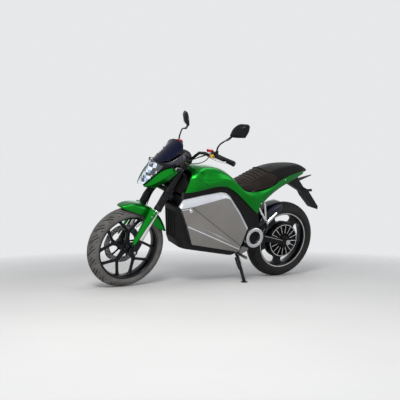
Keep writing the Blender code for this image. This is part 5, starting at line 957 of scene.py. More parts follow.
# seats
RIDER_ROWS = mm([
    [(521, 108, 750), (492, 118, 738), (440, 128, 733), (350, 134, 745), (238, 134, 774)],
    [(524, 98, 764), (492, 111, 764), (430, 124, 771), (320, 131, 806), (200, 131, 852)],
    [(528, 70, 772), (496, 79, 783), (440, 92, 803), (365, 98, 841), (290, 96, 880)],
    [(530, 34, 777), (498, 40, 789), (441, 48, 811), (366, 50, 851), (295, 48, 891)],
    [(530, 0, 779), (499, 0, 791), (442, 0, 813), (367, 0, 853), (297, 0, 894)]])
PASSENGER_ROWS = mm([
    [(236, 133, 777), (160, 126, 824), (50, 107, 864), (-45, 84, 884), (-116, 60, 893)],
    [(198, 131, 854), (130, 125, 880), (40, 108, 905), (-60, 84, 912), (-130, 56, 903)],
    [(288, 96, 882), (186, 94, 914), (58, 85, 935), (-62, 66, 935), (-129, 44, 914)],
    [(293, 48, 893), (188, 48, 922), (60, 44, 941), (-64, 34, 942), (-129, 23, 918)],
    [(295, 0, 896), (188, 0, 924), (60, 0, 943), (-64, 0, 944), (-129, 0, 919)]])


def padded_seat(name, rows, material, node, ribs):
    """Soft pad: a fine surface with swelled cushions between its stitched grooves."""
    grid = net(whole(rows), 26, 12)
    count_v, count_u = grid.shape[:2]
    across = np.abs(np.linspace(-1, 1, count_v))[:, None]
    along = np.linspace(0, 1, count_u)[None, :]
    du, dv = np.gradient(grid, axis=1), np.gradient(grid, axis=0)
    normal = np.cross(dv, du)
    normal /= np.linalg.norm(normal, axis=2, keepdims=True)
    normal *= np.sign(normal[count_v // 2, count_u // 2, 2])
    sink = np.zeros((count_v, count_u))
    if ribs:
        first, last, total = ribs
        phase = (along + 0.05 * across ** 2 - first) / (last - first) * total
        inside = (phase > -0.2) & (phase < total + 0.2)
        groove = np.exp(-((phase - np.round(phase)) / 0.16) ** 2) * inside
        swell = np.cos(np.clip(phase - np.floor(phase), 0, 1) * math.tau) * -0.5 * inside
        fade = np.clip((0.6 - across) / 0.1, 0, 1)
        sink += (0.0042 * groove - 0.0018 * swell) * fade
    sink += 0.0028 * np.exp(-((across - 0.62) / 0.012) ** 2)
    pad = sheet(name, grid - normal * sink[:, :, None], 0.006, 70)
    pad.modifiers["wall"].use_even_offset = False
    place(pad, "bike", material, [node])


def seats():
    """Rider and passenger pads, and the piping between them."""
    padded_seat("rider_pad", RIDER_ROWS, SEAT_BROWN, "seat_rider", (0.16, 0.97, 8))
    padded_seat("passenger_pad", PASSENGER_ROWS, SEAT_BLACK, "seat_passenger", None)
    half = [(0.237, 0.134, 0.777), (0.212, 0.135, 0.812), (0.199, 0.1315, 0.854), (0.24, 0.116, 0.87),
            (0.289, 0.0965, 0.8825), (0.294, 0.048, 0.8935), (0.296, 0.0, 0.8965)]
    bm = bmesh.new()
    add_tube(bm, span(whole(half), 8), 0.0028, 8)
    single("seat_piping", bm, "bike", SEAT_BLACK)


# nose
CHIN_UPPER = mm([(1294, 47, 748), (1262, 78, 795), (1222, 102, 846), (1165, 123, 884), (1128, 134, 892),
                 (1097, 138, 888)])
CHIN_RIDGE = mm([(1293, 52, 744), (1250, 90, 768), (1203, 117, 808), (1150, 137, 852), (1118, 143, 872),
                 (1094, 143, 876)])
CHIN_LOWER = mm([(1290, 46, 740), (1236, 67, 738), (1180, 93, 768), (1132, 118, 812), (1108, 130, 842),
                 (1091, 138, 862)])
LENS_SIDE = mm([(1301, 40, 752), (1266, 68, 803), (1233, 85, 843), (1202, 95, 878), (1188, 99, 902)])
LENS_MIDDLE = mm([(1303, 0, 748), (1290, 0, 797), (1271, 0, 838), (1241, 0, 876), (1210, 0, 908)])
LAMP_SLOPE = math.radians(35)
FACET_DEPTH = 0.004
FACET_STEP = 0.0018


def lamp_facets(rows):
    """Flat facets behind the lamp's glass, painted white, blue and dark by a pattern: painted highlights,
    painted reflections and painted shade.
    """
    facets = net(rows, 2, 2) * (1, 0.93, 1)
    count_u, count_v = facets.shape[:2]
    i, j = np.indices((count_u, count_v))
    depth = FACET_DEPTH + FACET_STEP * ((i * 5 + j * 3) % 4 - 1.5) / 1.5
    facets = facets - depth[:, :, None] * (math.cos(LAMP_SLOPE), 0, math.sin(LAMP_SLOPE))
    shapes = {kind: bmesh.new() for kind in ("bright", "blue", "dark")}
    for i, j in np.ndindex(count_u - 1, count_v - 1):
        a, b, c, d = [Vector(facets[at]) for at in ((i, j), (i, j + 1), (i + 1, j + 1), (i + 1, j))]
        for k, corners in enumerate(((a, b, c), (a, c, d))):
            # The pattern picks each facet's painted highlight, blue reflection or shade.
            pick = (i * 5 + j * 3 + k * 4) % 7
            kind = "bright"
            if pick in (0, 4) and 0 < i < 7:
                kind = "dark"
            elif pick in (2, 5) and i > 0:
                kind = "blue"
            bm = shapes[kind]
            bm.faces.new([bm.verts.new(p) for p in corners])
    for kind, material in (("bright", LAMP_HIGHLIGHT_WHITE), ("blue", LAMP_REFLECTION_BLUE), ("dark", LAMP_DARK)):
        single("lamp_facets_" + kind, shapes[kind], "fork", material, smooth=5)


def nose():
    """Chin panels, lamp glass over its facets, and the lamp's rims."""
    inner = [(x - 0.004, y - 0.022, z - 0.002) for x, y, z in CHIN_UPPER]
    below = [(x, y - 0.022, z + 0.006) for x, y, z in CHIN_LOWER]
    grid = net([inner, CHIN_UPPER, CHIN_RIDGE, CHIN_LOWER, below], 8, 5, (1, 2, 3))
    twins(sheet("chin_skin", grid, 0.0022, 24), "fork", GREEN, ["chin"])
    rows = bowed(LENS_SIDE, LENS_MIDDLE, (1.0, 0.62, 0.0, -0.62, -1.0), 1.7)
    place(sheet("lamp_glass", net(rows, 6, 6), 0.0018), "fork", LENS, ["lamp_lens"])
    lamp_facets(rows)
    bm = bmesh.new()
    add_tube(bm, span(LENS_SIDE, 6), 0.0022, 8)
    pair("lamp_rim", bm, "fork", BLACK_GLOSS)
    bm = bmesh.new()
    brow = whole([LENS_SIDE[-1], (1.203, 0.06, 0.9075), (1.21, 0.0, 0.9095)])
    add_tube(bm, span(brow, 6), 0.0022, 8)
    single("lamp_brow", bm, "fork", BLACK_GLOSS)


side_covers()
green_body()
seats()
nose()


# fender, fork and brake
# leaf stations round the front axle: degrees, crown radius, half width, skirt depth
LEAF = ((71.5, 0.32, 0.012, 0.004), (73.5, 0.3235, 0.034, 0.014), (78.0, 0.3265, 0.051, 0.032),
        (84.5, 0.329, 0.062, 0.05), (93.0, 0.3305, 0.068, 0.064), (104.0, 0.3315, 0.0705, 0.078),
        (114.0, 0.329, 0.0705, 0.086), (124.0, 0.323, 0.07, 0.088), (138.0, 0.315, 0.069, 0.076),
        (150.0, 0.3075, 0.066, 0.04), (155.0, 0.305, 0.062, 0.018))
LEAF_SECTION = ((-1.0, 1.0), (-1.02, 0.62), (-0.96, 0.3), (-0.78, 0.1), (-0.42, 0.015), (0.0, 0.0))
BLADE_TOP = mm([(38, -36), (50, -20), (52, 0), (43, 18), (24, 27.5), (6, 29)])
BLADE_FOOT = mm([(42, -4), (46, 2), (47, 8), (44, 14), (38, 19), (32, 22)])


def leg_spot(rise, ahead, left, side=1):
    """Point beside a fork leg: up from the axle, ahead of the leg, outward from its axis."""
    return FRONT_AXLE + FORK_AXIS * rise + FORK_AHEAD * ahead + LEFT * (FORK_SPREAD + left) * side


def fender():
    """Front mudguard's leaf, its side blades and their bolts."""
    place(guard("fender_leaf", LEAF, LEAF_SECTION, FRONT_AXLE, 7), "fork", GREEN, ["front_mudguard"])
    rows = []
    for rise, blend in ((0.318, 0.0), (0.29, 0.04), (0.255, 0.16), (0.19, 0.4), (0.115, 0.7), (0.042, 1.0)):
        ahead_left = np.array(BLADE_TOP) * (1 - blend) + np.array(BLADE_FOOT) * blend
        rows.append([leg_spot(rise + 0.012 * (1 - k / 5), *ahead_left[k]) for k in range(6)])
    twins(sheet("fender_blade", net(rows, 5, 6), 0.003), "fork", GREEN)
    bm = bmesh.new()
    for rise in (0.272, 0.3):
        add_bolt(bm, leg_spot(rise, 0.03, 0.0265), LEFT, 0.005, 0.0034)
    pair("fender_bolts", bm, "fork", STEEL)


def fork_legs():
    """Sliders, feet, axle nuts, seals and caps of both legs, and the wheel's lead."""
    for side, word in SIDES:
        foot = leg_spot(0.0, 0.0, 0.0, side)
        out = LEFT * side
        slider = ((0.0195, 0.352), (0.0203, 0.35), (0.0203, 0.082), (0.0195, 0.08))
        turned("fork_slider_" + word, "fork", CHROME, [(slider, foot, FORK_AXIS, 48)], ["stanchion_" + word])
        bm = bmesh.new()
        add_lathe(bm, ((0.01, 0.094), (0.0215, 0.094), (0.0245, 0.086), (0.0265, 0.06), (0.0265, 0.03),
                       (0.0235, 0.01), (0.02, -0.02), (0.01, -0.024)), foot, FORK_AXIS, 40)
        add_lathe(bm, ((0.0105, 0.022), (0.0215, 0.022), (0.0235, 0.018), (0.0235, -0.02), (0.0215, -0.024),
                       (0.0105, -0.024)), foot, out, 40, True)
        for ahead in (-0.012, 0.012):
            add_bolt(bm, leg_spot(-0.02, ahead, -0.004, side), out, 0.0042, 0.03)
        single("fork_foot_" + word, bm, "fork", BLACK_GLOSS)
        turned("fork_axle_nut_" + word, "fork", ALLOY, [
            (((0.003, 0.027), (0.008, 0.027), (0.009, 0.025), (0.009, 0.018)), foot, out, 24),
            (((0.01, 0.0215), (0.015, 0.0215), (0.0158, 0.0205), (0.0158, 0.018)), foot, out, 6)])
        seal = ((0.0208, 0.326), (0.0265, 0.328), (0.0285, 0.332), (0.0285, 0.352), (0.0274, 0.356),
                (0.0274, 0.362))
        rings = [((0.0272, rise - 0.003), (0.0282, rise), (0.0272, rise + 0.003)) for rise in (0.42, 0.47)]
        turned("fork_seal_" + word, "fork", BLACK_PLASTIC,
               [(profile, foot, FORK_AXIS, 48) for profile in (seal, *rings)])
        cap = ((0.0, 0.7228), (0.01, 0.7228), (0.011, 0.7214), (0.024, 0.7214), (0.0262, 0.719),
               (0.027, 0.714))
        turned("fork_cap_" + word, "fork", GOLD if side > 0 else ALLOY, [(cap, foot, FORK_AXIS, 40)])
    route = [leg_spot(rise, ahead, left, -1) for rise, ahead, left in (
        (0.47, 0.03, -0.03), (0.4, 0.046, -0.022), (0.32, 0.04, -0.026), (0.23, 0.01, -0.032),
        (0.15, -0.01, -0.03))]
    bm = bmesh.new()
    add_tube(bm, span(route, 10), 0.003, 10)
    single("wheel_lead", bm, "fork", CABLE)


# a caliper half along its length: share of the length, of the width and of the height
CALIPER_SHAPE = ((-0.5, 0.6, 0.55), (-0.42, 0.95, 0.85), (-0.15, 1.0, 1.0), (0.15, 1.0, 1.0),
                 (0.42, 0.95, 0.85), (0.5, 0.6, 0.55))


def caliper(name, body, axle, radius, middle, degrees, size):
    """Two halves over the disc with ribs, piston caps and bolts."""
    angle = math.radians(degrees)
    outward = Vector((math.cos(angle), 0, math.sin(angle)))
    along = Vector((-math.sin(angle), 0, math.cos(angle)))
    length = 0.078 * size
    turn = Matrix((along, LEFT, outward)).transposed()
    centre = axle + outward * radius + LEFT * middle
    bm = bmesh.new()
    for left, wide in ((0.0165, 0.0115), (-0.0105, 0.015)):
        add_blocks(bm, centre + LEFT * left * size, turn,
                   [(length * t, wide * size * w, 0.036 * size * h) for t, w, h in CALIPER_SHAPE], 4, 16)
    for t in (-0.36, 0.0, 0.36):
        rib = centre + along * length * t + outward * 0.0215 * size
        add_box(bm, rib, (0.012 * size, 0.036 * size, 0.007 * size), turn)
    for t in (-0.2, 0.2):
        add_lathe(bm, ((0.0, 0.024), (0.0065, 0.024), (0.0082, 0.0225), (0.009, 0.0195)),
                  centre + along * length * t, -LEFT, 28)
    single(name + "_body", bm, body, CALIPER_BLUE, [name])
    bm = bmesh.new()
    for t in (-0.42, 0.42):
        add_bolt(bm, centre + along * length * t - LEFT * 0.019 * size, -LEFT, 0.0052, 0.004)
    single(name + "_bolts", bm, body, STEEL)


# screen, pod and lamps
SCREEN_SIDE = mm([(1194, 50, 915), (1146, 89, 942), (1096, 104, 978), (1062, 112, 1012), (1050, 92, 1052)])
SCREEN_CENTRE = mm([(1196, 0, 916.5), (1161, 0, 958), (1119, 0, 1003), (1080, 0, 1044), (1051, 0, 1073)])
# raised side wing between screen and pod, from its upper edge down
WING_ROWS = mm([
    [(1192, 58, 908), (1150, 100, 928), (1098, 122, 962), (1058, 124, 994), (1030, 112, 1004)],
    [(1186, 66, 899), (1140, 110, 911), (1086, 130, 938), (1040, 130, 965), (1004, 112, 984)],
    [(1178, 66, 890), (1126, 106, 897), (1074, 122, 914), (1022, 118, 935), (980, 98, 958)]])
# instrument pod's hood from its side up to its middle
HOOD_ROWS = mm([
    [(1110, 74, 940), (1052, 76, 940), (998, 76, 932), (952, 72, 922), (936, 64, 918)],
    [(1114, 70, 966), (1056, 74, 980), (998, 75, 978), (950, 70, 962), (934, 64, 944)],
    [(1118, 48, 981), (1058, 56, 1001), (998, 58, 1004), (950, 52, 988), (932, 48, 966)],
    [(1120, 0, 985), (1060, 0, 1006), (1000, 0, 1010), (950, 0, 994), (930, 0, 972)]])


def screen():
    """Windscreen with its edge and screws, and a raised wing on each side."""
    rows = bowed(SCREEN_SIDE, SCREEN_CENTRE, (1.0, 0.86, 0.5, 0.0, -0.5, -0.86, -1.0), 2.2)
    grid = net(rows, 8, 8, (), (1, 5))
    place(sheet("screen_glass", grid, 0.003, 25), "fork", SCREEN, ["windscreen"])
    edge = [*grid[:, 0], *grid[-1, 1:], *grid[-2::-1, -1]]
    bm = bmesh.new()
    add_tube(bm, edge[::2] + [edge[-1]], 0.0019, 8)
    for side, column in ((1, 8), (-1, -9)):
        for share in (0.3, 0.62):
            spot = grid[int(share * (len(grid) - 1))][column]
            add_lathe(bm, ((0.0, 0.0035), (0.0045, 0.0035), (0.0062, 0.0015), (0.0062, -0.002)), spot,
                      (0.6, side * 0.5, 0.6), 20)
    single("screen_edge", bm, "fork", BLACK_GLOSS)
    twins(sheet("screen_wing", net(WING_ROWS, 8, 6, (1,)), 0.0025, 25), "fork", WING_PURPLE)


def pod():
    """Hood, bezel and face of the instrument pod."""
    hood = sheet("pod_hood", net(whole(HOOD_ROWS)[::-1], 7, 6), 0.0025)
    place(hood, "fork", BLACK_PLASTIC, ["instrument_pod"])
    turn = Matrix(((-0.6, 0, 0.8), (0, 1, 0), (0.8, 0, 0.6))).transposed()
    for name, material, power, sections in (
            ("bezel", BLACK_GLOSS, 5, ((-0.012, 0.124, 0.056), (-0.004, 0.128, 0.06),
                                       (0.001, 0.124, 0.056))),
            ("glass", BLACK_BLUE, 6, ((0.0008, 0.106, 0.04), (0.0022, 0.106, 0.04),
                                      (0.0028, 0.104, 0.038)))):
        bm = bmesh.new()
        add_blocks(bm, Vector((0.946, 0, 0.958)), turn, sections, power, 32)
        single("pod_" + name, bm, "fork", material)


def signal_lamps():
    """Front indicators on their stalks."""
    axis = Vector((1, 0.12, 0.05)).normalized()
    centre = Vector((1.112, 0.172, 0.893))
    for name, material, profile in (
            ("front_indicator", GREY_PLASTIC, ((0.0, -0.032), (0.005, -0.031), (0.01, -0.02),
                                               (0.0128, -0.002), (0.0134, 0.012), (0.0128, 0.014))),
            ("front_indicator_lens", SMOKE_LENS, ((0.0126, 0.0135), (0.0118, 0.02), (0.008, 0.026),
                                                  (0.0, 0.028)))):
        bm = bmesh.new()
        add_lathe(bm, profile, centre, axis, 36)
        pair(name, bm, "fork", material)
    stalk = [(1.1, 0.112, 0.884), (1.102, 0.13, 0.89), (1.104, 0.15, 0.892), (1.108, 0.164, 0.893)]
    bm = bmesh.new()
    add_tube(bm, span(stalk, 5), [0.0085] * 8 + [0.0065] * 8, 12)
    pair("front_indicator_stalk", bm, "fork", BLACK_PLASTIC)


# handlebar fittings and mirrors
GRIP_IN = Vector((0.861, 0.235, 1.01))
GRIP_OUT = Vector((0.7915, 0.3655, 0.9775))
MASTER = Vector((0.893, 0.198, 1.008))
LEVER_ROUTE = mm([(900, 226, 1002), (911, 246, 997), (907, 275, 992), (892, 310, 987), (872, 338, 985),
                  (861, 346, 985)])
CABLE_ROUTES = mm([
    [(895, 170, 1006), (930, 150, 985), (985, 130, 955), (1030, 100, 935), (1060, 70, 935)],
    [(880, 190, 995), (900, 165, 955), (950, 135, 930), (1010, 105, 926), (1050, 68, 928)],
    [(887, 165, 1000), (935, 120, 968), (975, 95, 945), (1020, 80, 940), (1045, 66, 942)]])


def grip_ribs(bm, run, length):
    """Ribbed rubber sleeve with a flange and a closed end."""
    profile = [(0.013, -0.002), (0.019, 0.0), (0.0195, 0.004), (0.016, 0.007)]
    for k in range(14):
        at = 0.01 + k * (length - 0.022) / 14
        profile += [(0.0162, at), (0.0172, at + 0.0015), (0.0172, at + 0.0055), (0.0162, at + 0.007)]
    profile += [(0.0175, length - 0.01), (0.0178, length - 0.004), (0.016, length), (0.0, length + 0.0005)]
    add_lathe(bm, profile, GRIP_IN, run, 32)


def switch_block(bm, run):
    """Block beside the grip with three buttons."""
    ahead = Vector((0.93, 0.36, -0.05)).normalized()
    turn = Matrix((run, ahead, run.cross(ahead))).transposed()
    block = GRIP_IN - run * 0.026
    add_blocks(bm["black"], block, turn,
               ((-0.02, 0.034, 0.036), (-0.016, 0.04, 0.042), (0.014, 0.04, 0.042), (0.018, 0.034, 0.036)))
    for a, b, key in ((0.0, 0.02, "alloy"), (-0.016, 0.014, "red"), (0.012, 0.018, "black")):
        add_box(bm[key], block + turn @ Vector((0.002, a, b)), (0.012, 0.008, 0.006), turn)


def master_cylinder(bm):
    """Clamp and cylinder with a milky reservoir, its red cap and the gold adjusters."""
    add_blocks(bm["black"], MASTER, Matrix.Identity(3),
               ((-0.03, 0.02, 0.022), (-0.012, 0.028, 0.026), (0.01, 0.03, 0.028), (0.018, 0.022, 0.02)))
    add_tube(bm["alloy"], [MASTER + Vector((0.004, y, 0)) for y in (-0.028, 0.034)], 0.0085, 20)
    for key, profile, offset, axis, steps in (
            ("white", ((0.0, 0.01), (0.017, 0.01), (0.0188, 0.012), (0.0188, 0.024), (0.0, 0.024)),
             (0, 0, 0), UP, 32),
            ("red", ((0.018, 0.0225), (0.0215, 0.0235), (0.0225, 0.025), (0.0225, 0.037), (0.0205, 0.039),
                     (0.0, 0.039)), (0, 0, 0), UP, 32),
            ("gold", ((0.0, 0.03), (0.014, 0.03), (0.0155, 0.028), (0.0155, 0.004), (0.014, 0.002),
                      (0.0, 0.002)), (0.006, 0.026, -0.004), LEFT, 28),
            ("gold", ((0.0, 0.01), (0.0125, 0.01), (0.0125, -0.008), (0.0, -0.008)), (-0.024, 0.014, 0.014),
             UP, 24)):
        add_lathe(bm[key], profile, MASTER + Vector(offset), axis, steps)
    for k in range(4):
        angle = k * math.tau / 4 + 0.5
        spot = MASTER + Vector((0.0135 * math.cos(angle), 0.0135 * math.sin(angle), 0.0395))
        add_bolt(bm["alloy"], spot, UP, 0.0022, 0.0015)


def lever(bm):
    """Pivot knuckle, curved blade and ball end."""
    pivot, ball = Vector(LEVER_ROUTE[0]), Vector(LEVER_ROUTE[-1])
    add_lathe(bm, ((0.0, 0.0095), (0.007, 0.0095), (0.008, 0.008), (0.008, -0.008), (0.0, -0.0095)), pivot,
              UP, 24)
    line = span(LEVER_ROUTE, 5)
    count = len(line)
    add_bar(bm, line, np.linspace(0.016, 0.01, count), [0.0085] * count, UP, 3.0, 12)
    bmesh.ops.create_uvsphere(bm, u_segments=16, v_segments=10, radius=0.0072,
                              matrix=Matrix.Translation(ball))


def bar_fittings():
    """Grips, switches, reservoirs and levers on both sides, riser bolts and cables."""
    bm = {key: bmesh.new() for key in ("black", "alloy", "red", "gold", "white", "grip")}
    along = GRIP_OUT - GRIP_IN
    run = along.normalized()
    grip_ribs(bm["grip"], run, along.length)
    switch_block(bm, run)
    master_cylinder(bm)
    lever(bm["alloy"])
    for key, name, material, nodes in (
            ("black", "bar_switches", BLACK_PLASTIC, ()), ("alloy", "bar_lever", ALLOY, ["lever_set"]),
            ("red", "bar_red_cap", RED, ()), ("gold", "bar_gold_parts", GOLD, ()),
            ("white", "bar_reservoir", MILKY, ()), ("grip", "bar_grip_ribs", RUBBER, ())):
        pair(name, bm[key], "fork", material, nodes, 40)
    bolts, cables = bmesh.new(), bmesh.new()
    for side in (1, -1):
        for x in (0.935, 0.967):
            add_bolt(bolts, (x, 0.04 * side, 0.936), (0.2, 0, 1), 0.0048, 0.006)
        for route in CABLE_ROUTES:
            add_tube(cables, span(np.array(route) * (1, side, 1), 10), 0.0032, 8)
    single("riser_bolts", bolts, "fork", STEEL)
    single("bar_cables", cables, "fork", CABLE)


MIRROR_BACK = ((0.0, -0.016), (0.3, -0.0155), (0.62, -0.0125), (0.86, -0.006), (0.97, 0.0005), (1.0, 0.0045),
               (0.985, 0.007))
# head outline on its own plane from the stem side: across, up
MIRROR_LINE = mm([(-71, -34), (-50, 10), (-6, 46), (58, 49), (71, 36), (66, 2), (40, -47), (-30, -49),
                  (-64, -46)])
MIRROR_CORNERS = (3, 4, 6, 8)


def mirror(side, word, sweep, height):
    """Shell with its stem, and the glass, turned by a sweep about the upright."""
    centre = Vector((0.766, 0.333 * side, height))
    across = Vector((-math.sin(sweep), math.cos(sweep) * side, 0.12)).normalized()
    facing = Vector((-math.cos(sweep), -math.sin(sweep) * side, 0.1))
    facing = (facing - across * facing.dot(across)).normalized()
    high = across.cross(facing)
    high = high if high.z > 0 else -high
    line = span([(a, b, 0) for a, b in MIRROR_LINE + MIRROR_LINE[:1]], 8, MIRROR_CORNERS)[:-1]
    ridge = np.array((0.8, 0.6))
    bm = bmesh.new()
    loops = []
    for share, depth in MIRROR_BACK:
        loop = []
        for p in line:
            a, b = p[0] * max(share, 0.02), p[1] * max(share, 0.02)
            off = abs(a * ridge[1] - b * ridge[0])
            swell = -0.007 * max(0.0, 1 - off / 0.035) * (share < 0.9) * (1 - share ** 4)
            loop.append(centre + (across * a + high * b) * 0.985 + facing * (depth + swell))
        loops.append(loop)
    add_loft(bm, loops)
    root = Vector((0.863, 0.243 * side, 1.028))
    foot = centre + across * -0.05 + high * -0.036
    stem = [root, (0.866, 0.245 * side, 1.06), (0.856, 0.25 * side, 1.088),
            (0.832, 0.268 * side, 1.118), foot + Vector((0.02, -0.014 * side, -0.026)), foot]
    add_tube(bm, span(stem, 6), [0.0062] * 10 + [0.0056] * 12 + [0.008] * 9, 12)
    add_lathe(bm, ((0.0, 0.018), (0.0085, 0.018), (0.0105, 0.015), (0.0105, -0.002), (0.0135, -0.004),
                   (0.0135, -0.014), (0.0, -0.014)), root, UP, 20)
    single("mirror_shell_" + word, bm, "fork", BLACK_GLOSS, ["mirror_" + word], 22)
    bm = bmesh.new()
    face = [centre + (across * p[0] + high * p[1]) * 0.945 + facing * 0.0074 for p in line]
    add_loft(bm, [[p - facing * 0.0012 for p in face], face])
    single("mirror_face_" + word, bm, "fork", MIRROR, smooth=30)


# rear end
# hugger stations round the rear axle: degrees, crown radius, half width, skirt depth
HUGGER = ((24, 0.333, 0.078, 0.04), (34, 0.3345, 0.083, 0.056), (46, 0.337, 0.084, 0.07),
          (56, 0.3395, 0.084, 0.086), (66, 0.3395, 0.082, 0.092), (73, 0.337, 0.078, 0.074), (77, 0.333,
                                                                                              0.07, 0.05))
PIVOT = Vector((0.364, 0, 0.374))
HUGGER_SECTION = ((-1.0, 1.0), (-1.02, 0.6), (-0.96, 0.26), (-0.74, 0.07), (-0.38, 0.01), (0.0, 0.0))


def hugger():
    """Rear wheel's mudguard on its stays."""
    place(guard("hugger_skin", HUGGER, HUGGER_SECTION, REAR_AXLE, 6), "bike", HUGGER_BLUE, ["hugger"])
    bm = bmesh.new()
    for side in (1, -1):
        top = wheel_point(REAR_AXLE, 0.268, math.radians(38), 0.0835 * side)
        add_tube(bm, span([top, (0.222, 0.092 * side, 0.44), (0.228, 0.098 * side, 0.396)], 5), 0.006, 10)
        bolt = wheel_point(REAR_AXLE, 0.285, math.radians(40), 0.084 * side)
        add_bolt(bm, bolt, LEFT * side, 0.006, 0.003)
    single("hugger_stays", bm, "bike", BLACK_SATIN)


def swingarm_trim():
    """Bright line along each arm, and the axle's nuts."""
    for side, word in SIDES:
        bm = bmesh.new()
        route = [(x, 0.1192 * side, z) for x, z in ((0.24, 0.374), (0.16, 0.356), (0.06, 0.334))]
        add_bar(bm, route, [0.0035, 0.004, 0.003], [0.0012] * 3, LEFT, 6, 8)
        single("swingarm_line_" + word, bm, "bike", STEEL)
        out = LEFT * side
        turned("rear_axle_nut_" + word, "bike", ALLOY, [
            (((0.0, 0.1275), (0.007, 0.1275), (0.0095, 0.1262), (0.0095, 0.1225)), REAR_AXLE, out, 24),
            (((0.0095, 0.1262), (0.0155, 0.1262), (0.0168, 0.125), (0.0168, 0.119)), REAR_AXLE, out, 6),
            (((0.0165, 0.1196), (0.0205, 0.1196), (0.021, 0.1185)), REAR_AXLE, out, 40)])


def ring_trim():
    """Turned pivot ring with a groove, dark plug and six screws."""
    bm = bmesh.new()
    add_lathe(bm, ((0.05, 0.127), (0.05, 0.156), (0.052, 0.159), (0.059, 0.1608), (0.0625, 0.1608),
                   (0.0635, 0.159), (0.065, 0.159), (0.066, 0.1608), (0.073, 0.1608), (0.0772, 0.158),
                   (0.0788, 0.153), (0.0788, 0.127)), PIVOT, LEFT, 96, True)
    pair("pivot_ring_turned", bm, "bike", RING_ALLOY, ["pivot_ring"])
    bm = bmesh.new()
    add_lathe(bm, ((0.0, 0.133), (0.014, 0.133), (0.0155, 0.1315), (0.0155, 0.129), (0.042, 0.128),
                   (0.0496, 0.13)), PIVOT, LEFT, 64)
    for k in range(6):
        add_bolt(bm, wheel_point(PIVOT, 0.03, k * math.tau / 6, 0.1284), LEFT, 0.005, 0.003)
    pair("pivot_plug", bm, "bike", BLACK_SATIN)


def stand_trim():
    """Sleeve on the stand's leg and the return spring beside it."""
    top, foot = Vector((0.488, 0.098, 0.232)), Vector((0.483, 0.262, 0.062))
    leg = foot - top
    sleeve = span([top + leg * 0.13 + Vector((-0.004, 0.002, 0)), top + leg * 0.32, top + leg * 0.55], 6)
    bm = bmesh.new()
    add_tube(bm, sleeve, list(np.linspace(0.0165, 0.011, len(sleeve))), 20)
    single("stand_sleeve", bm, "stand_leg", BLACK_SATIN)
    turns, steps = 16, 12
    run = leg * 0.52
    side = Vector((-1, 0, 0))
    other = run.cross(side).normalized()
    start = top + Vector((-0.026, 0.01, -0.004))
    route = []
    for k in range(turns * steps + 1):
        angle = k * math.tau / steps
        coil = side * math.cos(angle) + other * math.sin(angle)
        route.append(start + run * (k / (turns * steps)) + coil * 0.0062)
    bm = bmesh.new()
    add_tube(bm, route, 0.0014, 6)
    single("stand_spring", bm, "stand_leg", STEEL)


# CAD nodes that no finer piece stands for
PLAIN = (
    (BLACK_PLASTIC, "battery battery_cowl rear_mudguard"), (SPAR_BLACK, "frame"),
    (ALLOY, "passenger_peg_left passenger_peg_right"), (DARK_ALLOY, "rider_peg_left rider_peg_right"),
    (STEEL, "rear_axle rear_shock front_axle"), (BLACK_SATIN, "swingarm fork_yokes handlebar side_stand"),
    (RED_LENS, "tail_lamp"), (BLACK_GLOSS, "fork_tube_left fork_tube_right lamp_housing"),
    (RUBBER, "front_brake_hose"))


def dress_the_rest():
    """The other CAD nodes keep their shape, with rounded edges."""
    materials = {name: material for material, names in PLAIN for name in names.split()}
    for name in sorted(materials):
        dress(name, materials[name])


fender()
fork_legs()
caliper("front_caliper", "fork", FRONT_AXLE, 0.118, -0.076, 135, 1.0)
caliper("rear_caliper", "bike", REAR_AXLE, 0.0925, -0.0895, 66, 0.82)
screen()
pod()
signal_lamps()
bar_fittings()
mirror(1, "left", math.radians(38), 1.203)
mirror(-1, "right", math.radians(14), 1.194)
hugger()
swingarm_trim()
ring_trim()
stand_trim()
dress_the_rest()


# camera, light and floor
LEAN = math.radians(13.0)
CAMERA_AT = Vector((2.77, 3.65, 0.55))
CAMERA_YAW = math.radians(29.4)
CAMERA_PITCH = math.radians(0.97)
PHOTO_PIXELS = 400.0
FOCAL_PIXELS = 540.0
SENSOR_WIDTH = 36.0


def photo_camera():
    """Camera fitted to the photograph, fixed to the parked machine."""
    look = Vector((-math.sin(CAMERA_YAW) * math.cos(CAMERA_PITCH),
                   -math.cos(CAMERA_YAW) * math.cos(CAMERA_PITCH), math.sin(CAMERA_PITCH)))
    right = Vector((-math.cos(CAMERA_YAW), math.sin(CAMERA_YAW), 0))
    above = right.cross(look)
    turn = Matrix((right, above, -look)).transposed().to_4x4()
    ground = BIKE @ Matrix.Rotation(-LEAN, 4, "X").inverted()
    data = bpy.data.cameras.new("photo_camera")
    data.sensor_width = SENSOR_WIDTH
    data.lens = FOCAL_PIXELS / PHOTO_PIXELS * SENSOR_WIDTH
    data.clip_start = 0.05
    data.clip_end = 100.0
    camera = bpy.data.objects.new("photo_camera", data)
    bpy.context.scene.collection.objects.link(camera)
    camera.matrix_world = ground @ Matrix.Translation(CAMERA_AT) @ turn
    bpy.context.scene.camera = camera


def area(name, at, towards, size, power, colour=(1, 1, 1)):
    """Soft light of a size in metres and a power in watts, aimed at a point."""
    data = bpy.data.lights.new(name, "AREA")
    data.shape = "RECTANGLE"
    data.size, data.size_y = size
    data.energy = power
    data.color = colour
    light = bpy.data.objects.new(name, data)
    bpy.context.scene.collection.objects.link(light)
    light.location = at
    light.rotation_mode = "QUATERNION"
    light.rotation_quaternion = (Vector(towards) - Vector(at)).to_track_quat("-Z", "Y")


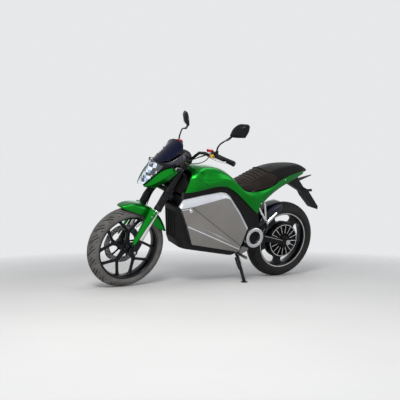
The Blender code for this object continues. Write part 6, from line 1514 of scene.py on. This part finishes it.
def studio():
    """Camera, pale floor that fades out, the world and four soft lights."""
    photo_camera()
    bm = bmesh.new()
    bmesh.ops.create_grid(bm, x_segments=1, y_segments=1, size=14.0)
    floor = from_bm("floor", bm)
    floor.location = (0, 0, -0.0004)
    m = Nodes("pale_floor").set(rough=0.7, spec=0.2)
    m.tint(m.noise(1.5), "Fac", (0.72, 0.72, 0.72), (0.76, 0.76, 0.76))
    floor.data.materials.append(m.material)
    away = m.add("ShaderNodeVectorMath", operation="LENGTH")
    m.link(m.coords(), "Vector", away, 0)
    scaled = m.add("ShaderNodeMath", operation="MULTIPLY")
    scaled.inputs[1].default_value = 0.1
    m.link(away, "Value", scaled, 0)
    fade = m.ramp(scaled, 0, (1, 1, 1), (0, 0, 0), 0.14, 0.34)
    m.link(fade, "Color", m.shader, "Alpha")

    world = bpy.data.worlds.new("studio")
    bpy.context.scene.world = world
    world.use_nodes = True
    tree = world.node_tree
    tree.nodes.clear()

    def node(kind, *inputs, **settings):
        made = tree.nodes.new("ShaderNode" + kind)
        for key, value in settings.items():
            setattr(made, key, value)
        for slot, value in zip(made.inputs, inputs):
            if isinstance(value, bpy.types.NodeSocket):
                tree.links.new(value, slot)
            else:
                slot.default_value = value
        return made.outputs

    light = node("Background", (0.92, 0.95, 1.0, 1), 0.26)
    seen = node("Background", (0.8, 0.81, 0.82, 1), 1.0)
    path = node("LightPath")
    glossy_too = node("Math", path["Is Camera Ray"], path["Is Glossy Ray"], operation="MAXIMUM")
    clear_too = node("Math", glossy_too[0], path["Is Transmission Ray"], operation="MAXIMUM")
    mix = node("MixShader", clear_too[0], light[0], seen[0])
    node("OutputWorld", mix[0])

    area("key", (2.4, 2.6, 3.0), (0.0, 0, 0.5), (1.3, 1.3), 125, (1.0, 0.98, 0.95))
    area("top", (-0.4, 0.5, 3.4), (0.0, 0, 0.5), (3.2, 1.2), 30)
    area("fill", (-2.6, 3.0, 1.6), (-0.1, 0, 0.5), (2.0, 2.0), 22, (0.95, 0.97, 1.0))
    area("rim", (-1.5, -3.2, 2.2), (0.0, 0, 0.7), (2.0, 1.0), 7)
    bpy.context.scene.view_settings.view_transform = "Standard"


studio()
